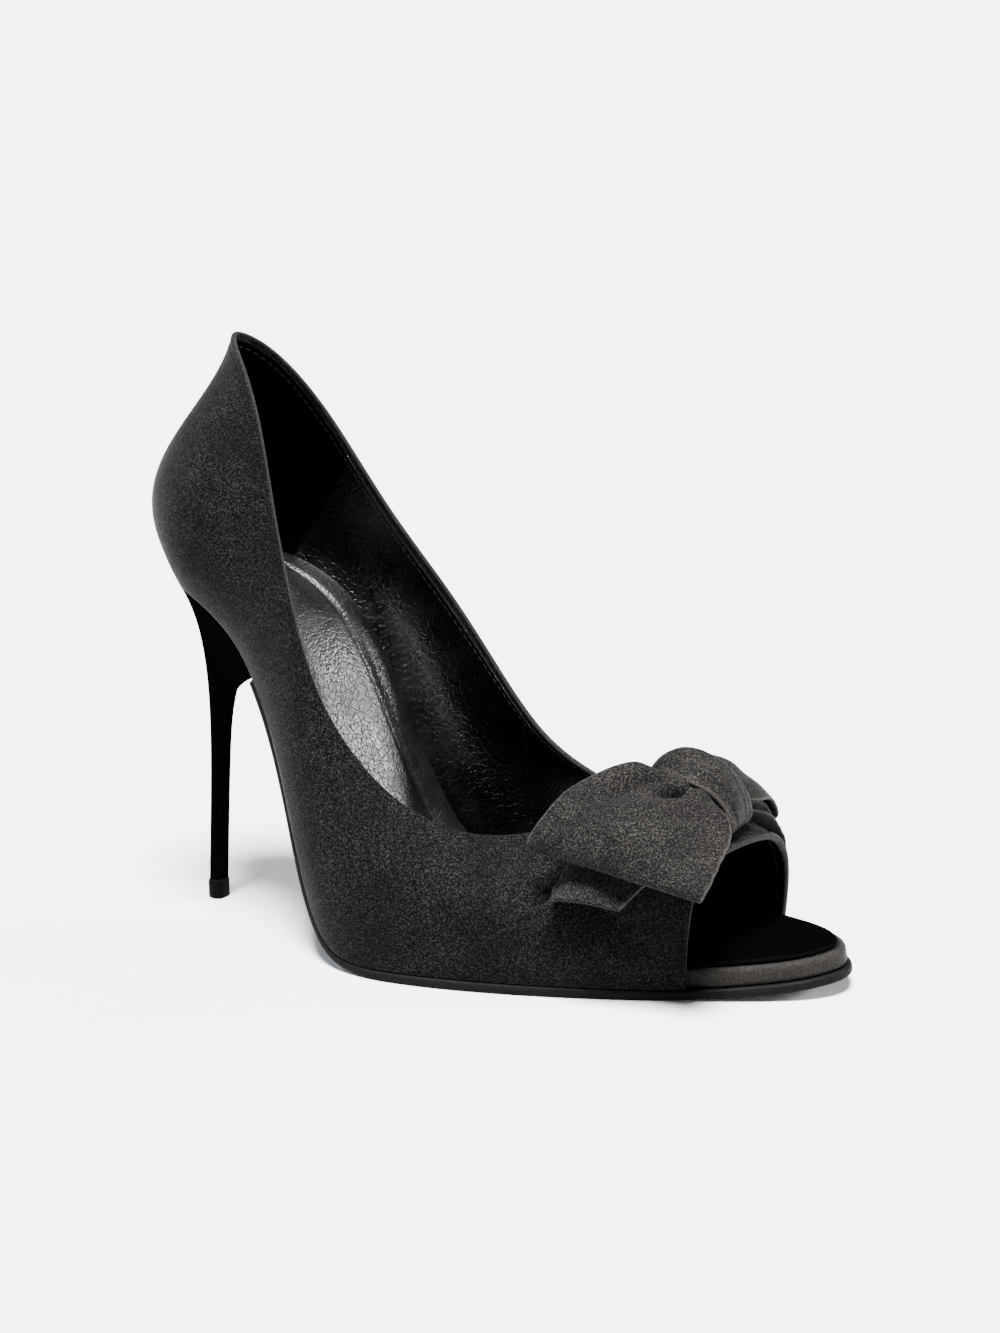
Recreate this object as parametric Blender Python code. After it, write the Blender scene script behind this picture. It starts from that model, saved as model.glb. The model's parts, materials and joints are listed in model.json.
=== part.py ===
# Peep toe pump with a stiletto heel and a folded bow: one right shoe.
# X runs from heel to toe, Y towards the wearer's left (the inner side of this right shoe), Z up. Metres.
# Until the last step the counter's back is at X 0 and the floor is at Z 0.

import math

import bmesh
import bpy
import numpy as np
from mathutils import Matrix, Vector
from mathutils.bvhtree import BVHTree

# Driving sizes
SHOE_LENGTH = 0.215
BALL_WIDTH = 0.078
HEEL_HEIGHT = 0.0975
COLLAR_HEIGHT = 0.0725
UPPER_WALL = 0.0016
OUTSOLE_THICKNESS = 0.0028
OUTSOLE_WELT = 0.0006
WAIST_TUCK = 0.0012
BOARD_THICKNESS = 0.0050
SOCK_THICKNESS = 0.0012
SOCK_CROWN = 0.0012
TOE_SPRING = 0.0045
OPENING_HEIGHT = 0.0390
OPENING_PIPING = 0.0006
HEEL_STEM_WIDTH = 0.0060
HEEL_STEM_DEPTH = 0.0060
HEEL_TIP_X = 0.0170
HEEL_LEAN = 0.0036
TOP_PIECE_HEIGHT = 0.0060
TOP_PIECE_FLARE = 0.0004
SEAT_LENGTH = 0.0330
RIBBON_THICKNESS = 0.0010
LOOP_HEIGHT = 0.0180
KNOT_HEIGHT = 0.0180
KNOT_TURN = 12.0
KNOT_BAND = 0.0013
FIT_GAP = 0.0003

# How finely the lofts are sampled
RIB_STEPS = 4
WALL_STEPS = 9
SOLE_STEPS = 52
SOLE_ACROSS = 5
HEEL_AROUND = 28
HEEL_LEVELS = 14
RIBBON_STEPS = 3
RIBBON_ACROSS = 6
KNOT_AROUND = 28
KNOT_ACROSS = 6

# The sole's outline seen from above.
# along: share of SHOE_LENGTH. aside: share of BALL_WIDTH, minus is the outer side.
OUTLINE = (
    # along, aside
    (0.992, 0.060),
    (0.970, -0.065),
    (0.925, -0.155),
    (0.825, -0.285),
    (0.705, -0.420),
    (0.570, -0.530),
    (0.445, -0.575),
    (0.345, -0.515),
    (0.260, -0.350),
    (0.190, -0.280),
    (0.125, -0.270),
    (0.070, -0.205),
    (0.045, 0.000),
    (0.070, 0.205),
    (0.125, 0.285),
    (0.190, 0.300),
    (0.268, 0.292),
    (0.375, 0.295),
    (0.475, 0.385),
    (0.590, 0.460),
    (0.700, 0.490),
    (0.810, 0.465),
    (0.900, 0.370),
    (0.965, 0.230),
)
OUTLINE_BACK_ROW = 12

# The bottom of the last from the side. rise: share of HEEL_HEIGHT above the forefoot.
PROFILE = (
    # along, rise
    (0.000, 1.000),
    (0.090, 0.970),
    (0.165, 0.895),
    (0.215, 0.790),
    (0.251, 0.658),
    (0.288, 0.485),
    (0.335, 0.269),
    (0.381, 0.118),
    (0.425, 0.036),
    (0.475, 0.004),
    (0.540, 0.000),
    (0.760, 0.000),
)
TREAD_SKEW = 0.35
SKEW_START = 0.03
SKEW_FULL = 0.22
SPRING_START = 0.76

# The upper's ribs, in order round the shoe from the middle of the toe opening, outer side first.
# foot: how far round OUTLINE, in rows, the rib's foot stands. Ribs of the toe opening stand on OPENING.
# x, z: the collar's point as shares of SHOE_LENGTH and of the counter's full height. y: share of BALL_WIDTH.
# low, high: swell of the wall at a third and two thirds of its height, as shares of BALL_WIDTH.
RIBS = (
    # foot, x, y, z, low, high
    (None, 0.693, 0.040, 0.294, 0.020, 0.030),
    (None, 0.675, -0.115, 0.279, 0.050, 0.050),
    (None, 0.637, -0.218, 0.256, 0.110, 0.080),
    (3.00, 0.591, -0.295, 0.241, 0.190, 0.100),
    (4.30, 0.521, -0.372, 0.244, 0.170, 0.100),
    (5.45, 0.437, -0.425, 0.294, 0.110, 0.075),
    (6.45, 0.358, -0.425, 0.388, 0.080, 0.050),
    (7.55, 0.300, -0.398, 0.518, 0.090, 0.050),
    (9.10, 0.251, -0.335, 0.700, 0.100, 0.060),
    (10.40, 0.205, -0.237, 0.868, 0.210, 0.060),
    (11.30, 0.153, -0.128, 0.966, 0.330, 0.030),
    (12.00, 0.119, 0.000, 1.000, 0.410, 0.000),
    (12.70, 0.153, 0.128, 0.964, 0.330, 0.030),
    (13.60, 0.213, 0.255, 0.850, 0.200, 0.060),
    (14.95, 0.288, 0.325, 0.694, 0.100, 0.060),
    (16.10, 0.372, 0.372, 0.550, 0.100, 0.060),
    (17.20, 0.449, 0.368, 0.423, 0.110, 0.070),
    (18.35, 0.523, 0.335, 0.326, 0.130, 0.090),
    (19.75, 0.595, 0.290, 0.280, 0.170, 0.110),
    (21.45, 0.635, 0.218, 0.276, 0.190, 0.110),
    (None, 0.668, 0.150, 0.285, 0.120, 0.080),
    (None, 0.688, 0.105, 0.292, 0.050, 0.050),
)
# The toe opening's arch. along, aside as in OUTLINE; rise: share of the arch's height above the board.
OPENING = (
    # along, aside, rise
    (0.868, 0.045, 1.04),
    (0.847, -0.185, 0.97),
    (0.834, -0.300, 0.60),
    (0.866, 0.385, 0.50),
    (0.871, 0.255, 0.89),
)


# The bow's ribbons stand over the vamp. A turn is an angle in degrees about a line through the foot's
# middle, 0 upwards and growing outwards. Lifts are heights over the vamp, as shares of LOOP_HEIGHT.
VAMP_AXIS = 0.0150
VAMP_FROM = 0.715
VAMP_TO = 0.800
# A loop's rows run from its upper layer in the knot, round the fold, to its lower layer in the knot.
OUTER_LOOP = (
    # back turn, along, lift; front turn, along, lift; hollow of the middle
    (2.0, 0.756, 0.52, 2.0, 0.830, 0.43, -0.24),
    (13.5, 0.752, 0.62, 13.5, 0.836, 0.44, -0.21),
    (18.0, 0.738, 0.95, 20.0, 0.858, 0.62, 0.02),
    (31.0, 0.690, 0.95, 33.0, 0.879, 0.66, -0.06),
    (38.0, 0.673, 0.98, 48.0, 0.884, 0.86, -0.12),
    (45.5, 0.657, 0.94, 57.0, 0.884, 1.06, -0.10),
    (53.5, 0.640, 0.78, 63.0, 0.881, 1.22, -0.02),
    (52.5, 0.655, 0.55, 61.0, 0.872, 0.95, 0.03),
    (38.0, 0.692, 0.44, 46.0, 0.862, 0.54, 0.00),
    (16.0, 0.748, 0.25, 16.0, 0.838, 0.25, 0.00),
    (2.0, 0.756, 0.24, 2.0, 0.830, 0.24, 0.00),
)
INNER_LOOP = (
    # back turn, along, lift; front turn, along, lift; hollow of the middle
    (2.0, 0.756, 0.52, 2.0, 0.830, 0.42, -0.30),
    (13.5, 0.752, 0.50, 13.5, 0.836, 0.36, -0.26),
    (22.0, 0.734, 0.58, 22.0, 0.852, 0.38, -0.12),
    (36.0, 0.722, 0.62, 36.0, 0.850, 0.40, -0.22),
    (49.0, 0.712, 0.58, 50.0, 0.844, 0.42, -0.18),
    (58.0, 0.706, 0.48, 58.0, 0.838, 0.46, -0.06),
    (55.0, 0.714, 0.38, 55.0, 0.836, 0.34, 0.00),
    (38.0, 0.732, 0.31, 38.0, 0.838, 0.30, 0.00),
    (16.0, 0.750, 0.25, 16.0, 0.836, 0.25, 0.00),
    (2.0, 0.756, 0.24, 2.0, 0.830, 0.24, 0.00),
)
# A tail's rows run from the knot to its cut end, below the loop.
OUTER_TAIL = (
    # back turn, along, lift; front turn, along, lift; hollow of the middle
    (2.0, 0.756, 0.150, 2.0, 0.830, 0.150, 0.00),
    (15.0, 0.748, 0.150, 15.0, 0.833, 0.150, 0.00),
    (38.0, 0.705, 0.17, 36.0, 0.815, 0.18, -0.01),
    (55.0, 0.680, 0.40, 55.0, 0.796, 0.44, -0.05),
    (70.0, 0.664, 0.62, 70.0, 0.772, 0.80, -0.02),
)
INNER_TAIL = (
    # back turn, along, lift; front turn, along, lift; hollow of the middle
    (2.0, 0.756, 0.150, 2.0, 0.830, 0.150, 0.00),
    (15.0, 0.748, 0.150, 15.0, 0.836, 0.150, 0.00),
    (36.0, 0.737, 0.13, 36.0, 0.846, 0.14, 0.00),
    (54.0, 0.740, 0.20, 54.0, 0.850, 0.20, -0.02),
    (70.0, 0.750, 0.24, 76.0, 0.852, 0.26, -0.03),
)
# The knot's band from the side.
KNOT = (
    # along, lift as a share of KNOT_HEIGHT
    (0.752, 0.035),
    (0.737, 0.150),
    (0.731, 0.420),
    (0.742, 0.720),
    (0.768, 0.940),
    (0.800, 1.000),
    (0.830, 0.910),
    (0.848, 0.680),
    (0.857, 0.380),
    (0.854, 0.130),
    (0.838, 0.035),
    (0.795, 0.030),
)


def faded(value, low, high):
    """0 below low, 1 above high, and a smooth step between them."""
    share = min(1.0, max(0.0, (value - low) / (high - low)))
    return share * share * (3.0 - 2.0 * share)


class Spline:
    """A smooth line through rows of values, one at each whole number, closed or with free ends."""

    def __init__(self, rows, closed=False, at=None):
        self.rows = np.array(rows, float)
        self.closed = closed
        count = len(rows)
        self.at = np.arange(count, dtype=float) if at is None else np.array(at, float)
        if closed:
            self.rows = np.vstack([self.rows, self.rows[:1]])
            self.at = np.append(self.at, float(count))
        steps = np.diff(self.at)
        knots = len(self.at)
        matrix = np.zeros((knots, knots))
        right = np.zeros((knots, self.rows.shape[1]))
        for k in range(1, knots - 1):
            matrix[k, k - 1 : k + 2] = steps[k - 1], 2 * (steps[k - 1] + steps[k]), steps[k]
            slopes = np.diff(self.rows[k - 1 : k + 2], axis=0) / steps[k - 1 : k + 1, None]
            right[k] = 6 * (slopes[1] - slopes[0])
        if closed:
            matrix[0, 0], matrix[0, -1] = 1, -1
            matrix[-1, 0], matrix[-1, 1] = 2 * steps[0], steps[0]
            matrix[-1, -2], matrix[-1, -1] = steps[-1], 2 * steps[-1]
            first = (self.rows[1] - self.rows[0]) / steps[0]
            last = (self.rows[-1] - self.rows[-2]) / steps[-1]
            right[-1] = 6 * (first - last)
        else:
            matrix[0, 0] = matrix[-1, -1] = 1
        self.bends = np.linalg.solve(matrix, right)

    def __call__(self, where):
        if self.closed:
            where = where % self.at[-1]
        k = int(np.clip(np.searchsorted(self.at, where, side="right") - 1, 0, len(self.at) - 2))
        step = self.at[k + 1] - self.at[k]
        a = (self.at[k + 1] - where) / step
        b = 1 - a
        curve = (a**3 - a) * self.bends[k] + (b**3 - b) * self.bends[k + 1]
        return a * self.rows[k] + b * self.rows[k + 1] + curve * step * step / 6


outline_spline = Spline([(a * SHOE_LENGTH, b * BALL_WIDTH) for a, b in OUTLINE], closed=True)
profile_spline = Spline([(z * HEEL_HEIGHT,) for _, z in PROFILE], at=[a * SHOE_LENGTH for a, _ in PROFILE])


def outline(where, inset=0.0):
    """A point of the sole's outline, moved inwards by inset. where counts OUTLINE's rows."""
    point = outline_spline(where)
    if inset == 0.0:
        return point
    ahead, behind = outline_spline(where + 0.02), outline_spline(where - 0.02)
    along = (ahead - behind) / np.linalg.norm(ahead - behind)
    return point + inset * np.array([along[1], -along[0]]) * OUTLINE_TURN


def outline_turn():
    """1 if OUTLINE runs clockwise seen from above, else -1."""
    points = np.array([outline_spline(k) for k in range(len(OUTLINE))])
    ahead = np.roll(points, -1, axis=0)
    area = np.sum(points[:, 0] * ahead[:, 1] - ahead[:, 0] * points[:, 1])
    return 1.0 if area < 0 else -1.0


OUTLINE_TURN = outline_turn()


def sole_height(x, y):
    """Height of the last's bottom above the floor. The tread lies askew: the outer ball is further back."""
    skew = TREAD_SKEW * faded(x, SKEW_START * SHOE_LENGTH, SKEW_FULL * SHOE_LENGTH)
    skew *= 1.0 - faded(x, 0.55 * SHOE_LENGTH, SPRING_START * SHOE_LENGTH)
    along = x - skew * y
    flat = PROFILE[-1][0] * SHOE_LENGTH
    rise = 0.0 if along >= flat else max(0.0, float(profile_spline(max(0.0, along))[0]))
    reach = max(0.0, x / SHOE_LENGTH - SPRING_START) / (1.0 - SPRING_START)
    return OUTSOLE_THICKNESS + rise + TOE_SPRING * reach * reach


def on_sole(x, y, lift=0.0):
    """The point lift above the last's bottom, square to it."""
    near = 0.0005
    slope_x = (sole_height(x + near, y) - sole_height(x - near, y)) / (2 * near)
    slope_y = (sole_height(x, y + near) - sole_height(x, y - near)) / (2 * near)
    normal = Vector((-slope_x, -slope_y, 1.0)).normalized()
    return Vector((x, y, sole_height(x, y))) + normal * lift


def material(name, colour, roughness):
    made = bpy.data.materials.new(name)
    made.use_nodes = True
    shader = made.node_tree.nodes["Principled BSDF"]
    shader.inputs["Base Color"].default_value = (*colour, 1.0)
    shader.inputs["Roughness"].default_value = roughness
    shader.inputs["Metallic"].default_value = 0.0
    made.diffuse_color = (*colour, 1.0)
    return made


def add_solid(name, points, faces, finish, collection, crease_degrees=40.0):
    """One closed mesh object from points and faces, with its doubles merged and its faces turned outwards."""
    mesh = bpy.data.meshes.new(name)
    mesh.from_pydata([tuple(p) for p in points], [], faces)
    work = bmesh.new()
    work.from_mesh(mesh)
    bmesh.ops.remove_doubles(work, verts=work.verts, dist=1e-6)
    bmesh.ops.recalc_face_normals(work, faces=work.faces)
    work.to_mesh(mesh)
    work.free()
    mesh.materials.append(finish)
    mesh.shade_smooth()
    mesh.set_sharp_from_angle(angle=math.radians(crease_degrees))
    made = bpy.data.objects.new(name, mesh)
    collection.objects.link(made)
    return made


def grid_faces(rows, columns, first=0, wrap=False):
    """Quads of a grid of points stored row by row, starting at index first."""
    faces = []
    for i in range(rows if wrap else rows - 1):
        for j in range(columns - 1):
            here, ahead = first + i * columns, first + ((i + 1) % rows) * columns
            faces.append((here + j, ahead + j, ahead + j + 1, here + j + 1))
    return faces


def ring_faces(around, levels, first=0, step=None):
    """Quads between closed rings of points. step: from one ring's first point to the next one's."""
    step = around if step is None else step
    faces = []
    for a in range(levels):
        for k in range(around):
            here, ahead = first + a * step + k, first + a * step + (k + 1) % around
            faces.append((here, ahead, ahead + step, here + step))
    return faces


# Upper


def rib_feet():
    """A function from a place round the ribs to its foot, on the outline or the toe opening's arch."""
    count = len(RIBS)
    side = [k for k, rib in enumerate(RIBS) if rib[0] is not None]
    first, last = side[0], side[-1]
    places = Spline([(RIBS[k][0],) for k in side], at=side)
    lift = BOARD_THICKNESS + OUTSOLE_THICKNESS

    def arch_point(row):
        along, aside, rise = OPENING[row]
        return along * SHOE_LENGTH, aside * BALL_WIDTH, lift + rise * (OPENING_HEIGHT - lift)

    def corner(k):
        x, y = outline(RIBS[k][0])
        return tuple(on_sole(x, y, FIT_GAP))

    arch_rows = [arch_point(row) for row in (3, 4, 0, 1, 2)]
    arch = Spline([corner(last), *arch_rows, corner(first)], at=[last - count, -2, -1, 0, 1, 2, first])

    def foot(where, inset=0.0):
        where = (where + count - last) % count + last - count
        if first <= where or where <= last - count:
            place = where if where >= first else where + count
            x, y = outline(float(places(place)[0]), inset)
            return on_sole(x, y, FIT_GAP)
        return Vector(arch(where))

    return foot, first, last


def collar_spline():
    height = HEEL_HEIGHT + COLLAR_HEIGHT
    sizes = np.array([SHOE_LENGTH, BALL_WIDTH, height, BALL_WIDTH, BALL_WIDTH])
    return Spline([np.array(rib[1:]) * sizes for rib in RIBS], closed=True)


def wall_share(step):
    """Spaces a rib's points: two close to its foot, for the piping round the toe opening, then evenly."""
    near = (0.0, 0.045, 0.075)
    if step < 3:
        return near[step]
    return near[2] + (1 - near[2]) * (step - 2) / (WALL_STEPS - 2)


def rib_points(where, foot, collar):
    """Points up one rib, from its foot to the collar, swelling outwards as the last does."""
    head = collar(where)
    ahead, behind = collar(where + 0.05), collar(where - 0.05)
    start, end = foot(where), Vector(head[:3])
    chord = end - start
    along = Vector(ahead[:3] - behind[:3])
    out = chord.cross(along).normalized()
    if out.dot(Vector((start.x - 0.5 * SHOE_LENGTH, start.y, 0.02))) < 0:
        out = -out
    first = start + chord / 3 + out * head[3]
    second = start + chord * 2 / 3 + out * head[4]
    points = []
    for j in range(WALL_STEPS + 1):
        t = wall_share(j)
        s = 1 - t
        points.append(s**3 * start + 3 * s * s * t * first + 3 * s * t * t * second + t**3 * end)
    return points


def upper_grids():
    """The upper's outer and inner surfaces, each a closed ring of ribs."""
    foot, first, last = rib_feet()
    collar = collar_spline()
    places = [k / RIB_STEPS for k in range(len(RIBS) * RIB_STEPS)]
    outer = [rib_points(where, foot, collar) for where in places]
    count = len(outer)
    inner = []
    for i, rib in enumerate(outer):
        ahead, behind = outer[(i + 1) % count], outer[i - 1]
        row = []
        for j, point in enumerate(rib):
            up = rib[min(j + 1, WALL_STEPS)] - rib[max(j - 1, 0)]
            round_ = ahead[j] - behind[j]
            inward = round_.cross(up).normalized()
            row.append(point + inward * UPPER_WALL)
        inner.append(row)
    middle = sum((p for rib in outer for p in rib), Vector()) / (count * (WALL_STEPS + 1))
    heel = outer[places.index(11.0)][5]
    probe = inner[places.index(11.0)][5]
    if (probe - middle).length > (heel - middle).length:
        inner = [[2 * p - q for p, q in zip(a, b)] for a, b in zip(outer, inner)]
    for i, where in enumerate(places):
        if first <= where <= last:
            inner[i][0] = foot(where, UPPER_WALL)
        else:
            for j in (0, 1):
                outer[i][j] += (outer[i][j] - inner[i][j]).normalized() * OPENING_PIPING
    return outer, inner


def build_upper(finish, collection):
    outer, inner = upper_grids()
    rows, columns = len(outer), WALL_STEPS + 1
    points = [p for rib in outer for p in rib] + [p for rib in inner for p in rib]
    faces = grid_faces(rows, columns, wrap=True) + grid_faces(rows, columns, first=rows * columns, wrap=True)
    for i in range(rows):
        j = (i + 1) % rows
        for edge in (0, columns - 1):
            here, ahead = i * columns + edge, j * columns + edge
            faces.append((here, ahead, ahead + rows * columns, here + rows * columns))
    return add_solid("upper", points, faces, finish, collection)


# Flat layers of the sole


def along_turn(share):
    """Spaces a layer's rows more closely at the heel's back and the toe."""
    return 0.3 * share + 0.7 * (1 - math.cos(math.pi * share)) / 2


def layer(name, profile, start, lift_of, finish, collection):
    """A layer that follows the last's bottom. profile: (inset, lift) up its edge.
    start: the share of the way from the heel's back to the toe where it begins.
    lift_of: what the top is raised by at (along, across)."""
    half = len(OUTLINE) / 2
    rings = []
    shares = [k / SOLE_STEPS for k in range(SOLE_STEPS + 1)]
    shares = [start] + [share for share in shares if share > start + 0.3 / SOLE_STEPS]
    for share in shares:
        turn = along_turn(share)
        rings.append((OUTLINE_BACK_ROW - half * turn, OUTLINE_BACK_ROW + half * turn))
    last = len(rings) - 1
    top_inset, bottom_inset = profile[-1][0], profile[0][0]
    points, faces = [], []

    def sheet(inset, lift, extra):
        first = len(points)
        for outer_place, inner_place in rings:
            a, b = outline(outer_place, inset(outer_place)), outline(inner_place, inset(inner_place))
            for j in range(SOLE_ACROSS + 1):
                across = j / SOLE_ACROSS
                x, y = a + (b - a) * across
                more = lift_of(x, across) if extra else 0.0
                points.append(on_sole(x, y, lift + more))
        return first

    columns = SOLE_ACROSS + 1
    bottom = sheet(bottom_inset, profile[0][1], False)
    top = sheet(top_inset, profile[-1][1], True)
    for first in (bottom, top):
        for a, b, c, d in grid_faces(last + 1, columns, first=first):
            faces += [(a, b, c), (a, c, d)]

    def rim(place_index, column):
        """The strip up one side's edge."""
        strips = []
        for level, (inset, lift) in enumerate(profile):
            row = []
            for k, places in enumerate(rings):
                if level == 0:
                    row.append(bottom + k * columns + column)
                elif level == len(profile) - 1:
                    row.append(top + k * columns + column)
                else:
                    x, y = outline(places[place_index], inset(places[place_index]))
                    row.append(len(points))
                    points.append(on_sole(x, y, lift))
            strips.append(row)
        for low, high in zip(strips, strips[1:]):
            for k in range(last):
                faces.append((low[k], low[k + 1], high[k + 1], high[k]))
        return strips

    outer_rim = rim(0, 0)
    inner_rim = rim(1, SOLE_ACROSS)
    if start > 0:
        loop = [bottom + j for j in range(columns)]
        loop += [strip[0] for strip in inner_rim[1:-1]]
        loop += [top + j for j in reversed(range(columns))]
        loop += [strip[0] for strip in reversed(outer_rim[1:-1])]
        faces.append(tuple(loop))
    return add_solid(name, points, faces, finish, collection)


def build_outsole(finish, collection):
    """Thin leather sole from the heel's breast to the toe, proud in front and tucked in at the waist."""
    waist = 0.46 * SHOE_LENGTH

    def edge(place):
        x = outline(place)[0]
        return -OUTSOLE_WELT + WAIST_TUCK * (1 - faded(x, 0.30 * SHOE_LENGTH, waist))

    profile = (
        (lambda p: edge(p) + 0.0005, -OUTSOLE_THICKNESS),
        (edge, -OUTSOLE_THICKNESS + 0.0006),
        (edge, -0.0005),
        (lambda p: edge(p) + 0.0004, 0.0),
    )
    return layer("outsole", profile, breast_share(), lambda x, across: 0.0, finish, collection)


def breast_share():
    """The share of the way from the heel's back to the toe at which the heel's breast stands."""
    half = len(OUTLINE) / 2
    low, high = 0.0, 1.0
    for _ in range(40):
        share = (low + high) / 2
        x = outline(OUTLINE_BACK_ROW - half * along_turn(share))[0]
        if x < SEAT_LENGTH + outline(OUTLINE_BACK_ROW)[0]:
            low = share
        else:
            high = share
    return low


def past_corner(place):
    """0 where the upper stands on the outline and 1 where the toe is open, with a short step between."""
    _, first, last = rib_feet()
    place = place % len(OUTLINE)
    ahead = place - RIBS[last][0] if place > len(OUTLINE) / 2 else RIBS[first][0] - place
    return faded(ahead, 0.06, 0.28)


def build_board(finish, collection):
    """Insole board: inside the upper, and as wide as the outsole where the toe is open, wrapped in satin."""
    base = FIT_GAP
    hidden, shown = UPPER_WALL + 2 * FIT_GAP, 0.0004

    def inset(place):
        return hidden + (shown - hidden) * past_corner(place)

    profile = (
        (lambda p: inset(p) + 0.0006, base),
        (inset, base + 0.0010),
        (inset, base + BOARD_THICKNESS - 0.0014),
        (lambda p: inset(p) + 0.0010, base + BOARD_THICKNESS),
    )
    return layer("insole_board", profile, 0.0, lambda x, across: 0.0, finish, collection)


def build_sock(finish, collection):
    """Leather sock lining on the board, with a raised pad between its edges."""
    base = BOARD_THICKNESS + 2 * FIT_GAP
    hidden, shown = UPPER_WALL + 2 * FIT_GAP, 0.0026

    def inset(place):
        return hidden + (shown - hidden) * past_corner(place)

    def crown(x, across):
        middle = math.sin(math.pi * across)
        return SOCK_CROWN * faded(middle, 0.25, 0.75) * (1 - faded(x, 0.45 * SHOE_LENGTH, 0.6 * SHOE_LENGTH))

    profile = (
        (inset, base),
        (lambda p: inset(p) + 0.0003, base + SOCK_THICKNESS),
    )
    return layer("sock_lining", profile, 0.0, crown, finish, collection)


# Heel


def stem_outline(angle, width, depth):
    """A stiletto's section: a round back and a flat, slightly hollow breast. Angle 0 points to the toe."""
    x, y = math.cos(angle), math.sin(angle)
    front = depth / 2 * (0.62 if x > 0 else 1.0)
    return front * math.copysign(abs(x) ** 0.9, x), width / 2 * math.copysign(abs(y) ** 0.8, y)


def seat_outline(angle):
    """The heel's top edge under the seat: the outline's back, closed by the breast line."""
    back_x = outline(OUTLINE_BACK_ROW)[0]
    centre = Vector((back_x + 0.55 * SEAT_LENGTH, 0.0))
    far = 0.06
    inset = 0.0002
    places = np.linspace(OUTLINE_BACK_ROW - 4.0, OUTLINE_BACK_ROW + 4.0, 241)
    direction = Vector((math.cos(angle), math.sin(angle)))
    breast = back_x + SEAT_LENGTH - FIT_GAP
    best = far
    previous = None
    for place in places:
        point = Vector(outline(place, inset)) - centre
        side = direction.x * point.y - direction.y * point.x
        if previous is not None and side * previous[0] <= 0 and point.dot(direction) > 0:
            share = previous[0] / (previous[0] - side) if previous[0] != side else 0.0
            best = min(best, (previous[1] + (point - previous[1]) * share).length)
        previous = (side, point)
    if direction.x > 0:
        best = min(best, (breast - centre.x) / direction.x)
    return centre.x + direction.x * best, centre.y + direction.y * best


def build_heel(finish, tip_finish, collection):
    """The stiletto, flaring up from its stem to the seat, with its separate top piece below."""
    points, faces = [], []
    base = TOP_PIECE_HEIGHT + FIT_GAP
    angles = [2 * math.pi * (k + 0.5) / HEEL_AROUND for k in range(HEEL_AROUND)]
    levels = [1 - (1 - level / HEEL_LEVELS) ** 1.7 for level in range(HEEL_LEVELS + 1)]
    for level in levels:
        for angle in angles:
            stem_x, stem_y = stem_outline(angle, HEEL_STEM_WIDTH, HEEL_STEM_DEPTH)
            stem_x += HEEL_TIP_X + HEEL_LEAN * level
            x, y = seat_outline(angle)
            top = on_sole(x, y)
            back = (1 - math.cos(angle)) / 2
            flare = level ** (8.0 - 4.0 * back)
            x, y = stem_x + (top.x - stem_x) * flare, stem_y + (top.y - stem_y) * flare
            points.append(Vector((x, y, base + (top.z - base) * level)))
    faces += ring_faces(HEEL_AROUND, HEEL_LEVELS)
    faces.append(tuple(range(HEEL_AROUND)))
    edge = [seat_outline(angle) for angle in angles]
    centre = (sum(p[0] for p in edge) / HEEL_AROUND, sum(p[1] for p in edge) / HEEL_AROUND)
    ring = HEEL_LEVELS * HEEL_AROUND
    for share in (0.66, 0.33):
        start = len(points)
        for x, y in edge:
            points.append(on_sole(centre[0] + (x - centre[0]) * share, centre[1] + (y - centre[1]) * share))
        faces += ring_faces(HEEL_AROUND, 1, ring, start - ring)
        ring = start
    points.append(on_sole(centre[0], centre[1]))
    faces += [(ring + k, ring + (k + 1) % HEEL_AROUND, len(points) - 1) for k in range(HEEL_AROUND)]
    add_solid("heel", points, faces, finish, collection, crease_degrees=50.0)

    rings = ((0.0, -0.0003), (0.0007, 0.0), (TOP_PIECE_HEIGHT - 0.0008, 0.0), (TOP_PIECE_HEIGHT, -0.0003))
    points, faces = [], []
    for z, grow in rings:
        size = TOP_PIECE_FLARE + grow
        for angle in angles:
            x, y = stem_outline(angle, HEEL_STEM_WIDTH + 2 * size, HEEL_STEM_DEPTH + 2 * size)
            points.append(Vector((HEEL_TIP_X + x, y, z)))
    faces += ring_faces(HEEL_AROUND, len(rings) - 1)
    faces.append(tuple(range(HEEL_AROUND)))
    faces.append(tuple(range((len(rings) - 1) * HEEL_AROUND, len(rings) * HEEL_AROUND)))
    add_solid("heel_top_piece", points, faces, tip_finish, collection)


# Bow


class Vamp:
    """Heights over the upper's outer surface, found with rays and drawn on past its edges."""

    def __init__(self, upper):
        work = bmesh.new()
        work.from_mesh(upper.data)
        self.tree = BVHTree.FromBMesh(work)
        work.free()

    def cast(self, x, direction):
        origin = Vector((x, 0.0, VAMP_AXIS))
        reach = origin + direction * 0.2
        found, _, _, distance = self.tree.ray_cast(reach, -direction, 0.2)
        return 0.2 - distance if found else 0.04

    def point(self, turn, along, lift):
        x = along * SHOE_LENGTH
        low, high = VAMP_FROM * SHOE_LENGTH, VAMP_TO * SHOE_LENGTH
        direction = Vector((0.0, math.sin(math.radians(turn)), math.cos(math.radians(turn))))
        held = min(high, max(low, x))
        radius = self.cast(held, direction)
        if held != x:
            step = 0.006 if held == low else -0.006
            slope = (self.cast(held + step, direction) - radius) / step
            radius += slope * (x - held)
        return Vector((x, 0.0, VAMP_AXIS)) + direction * (radius + lift)


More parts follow.
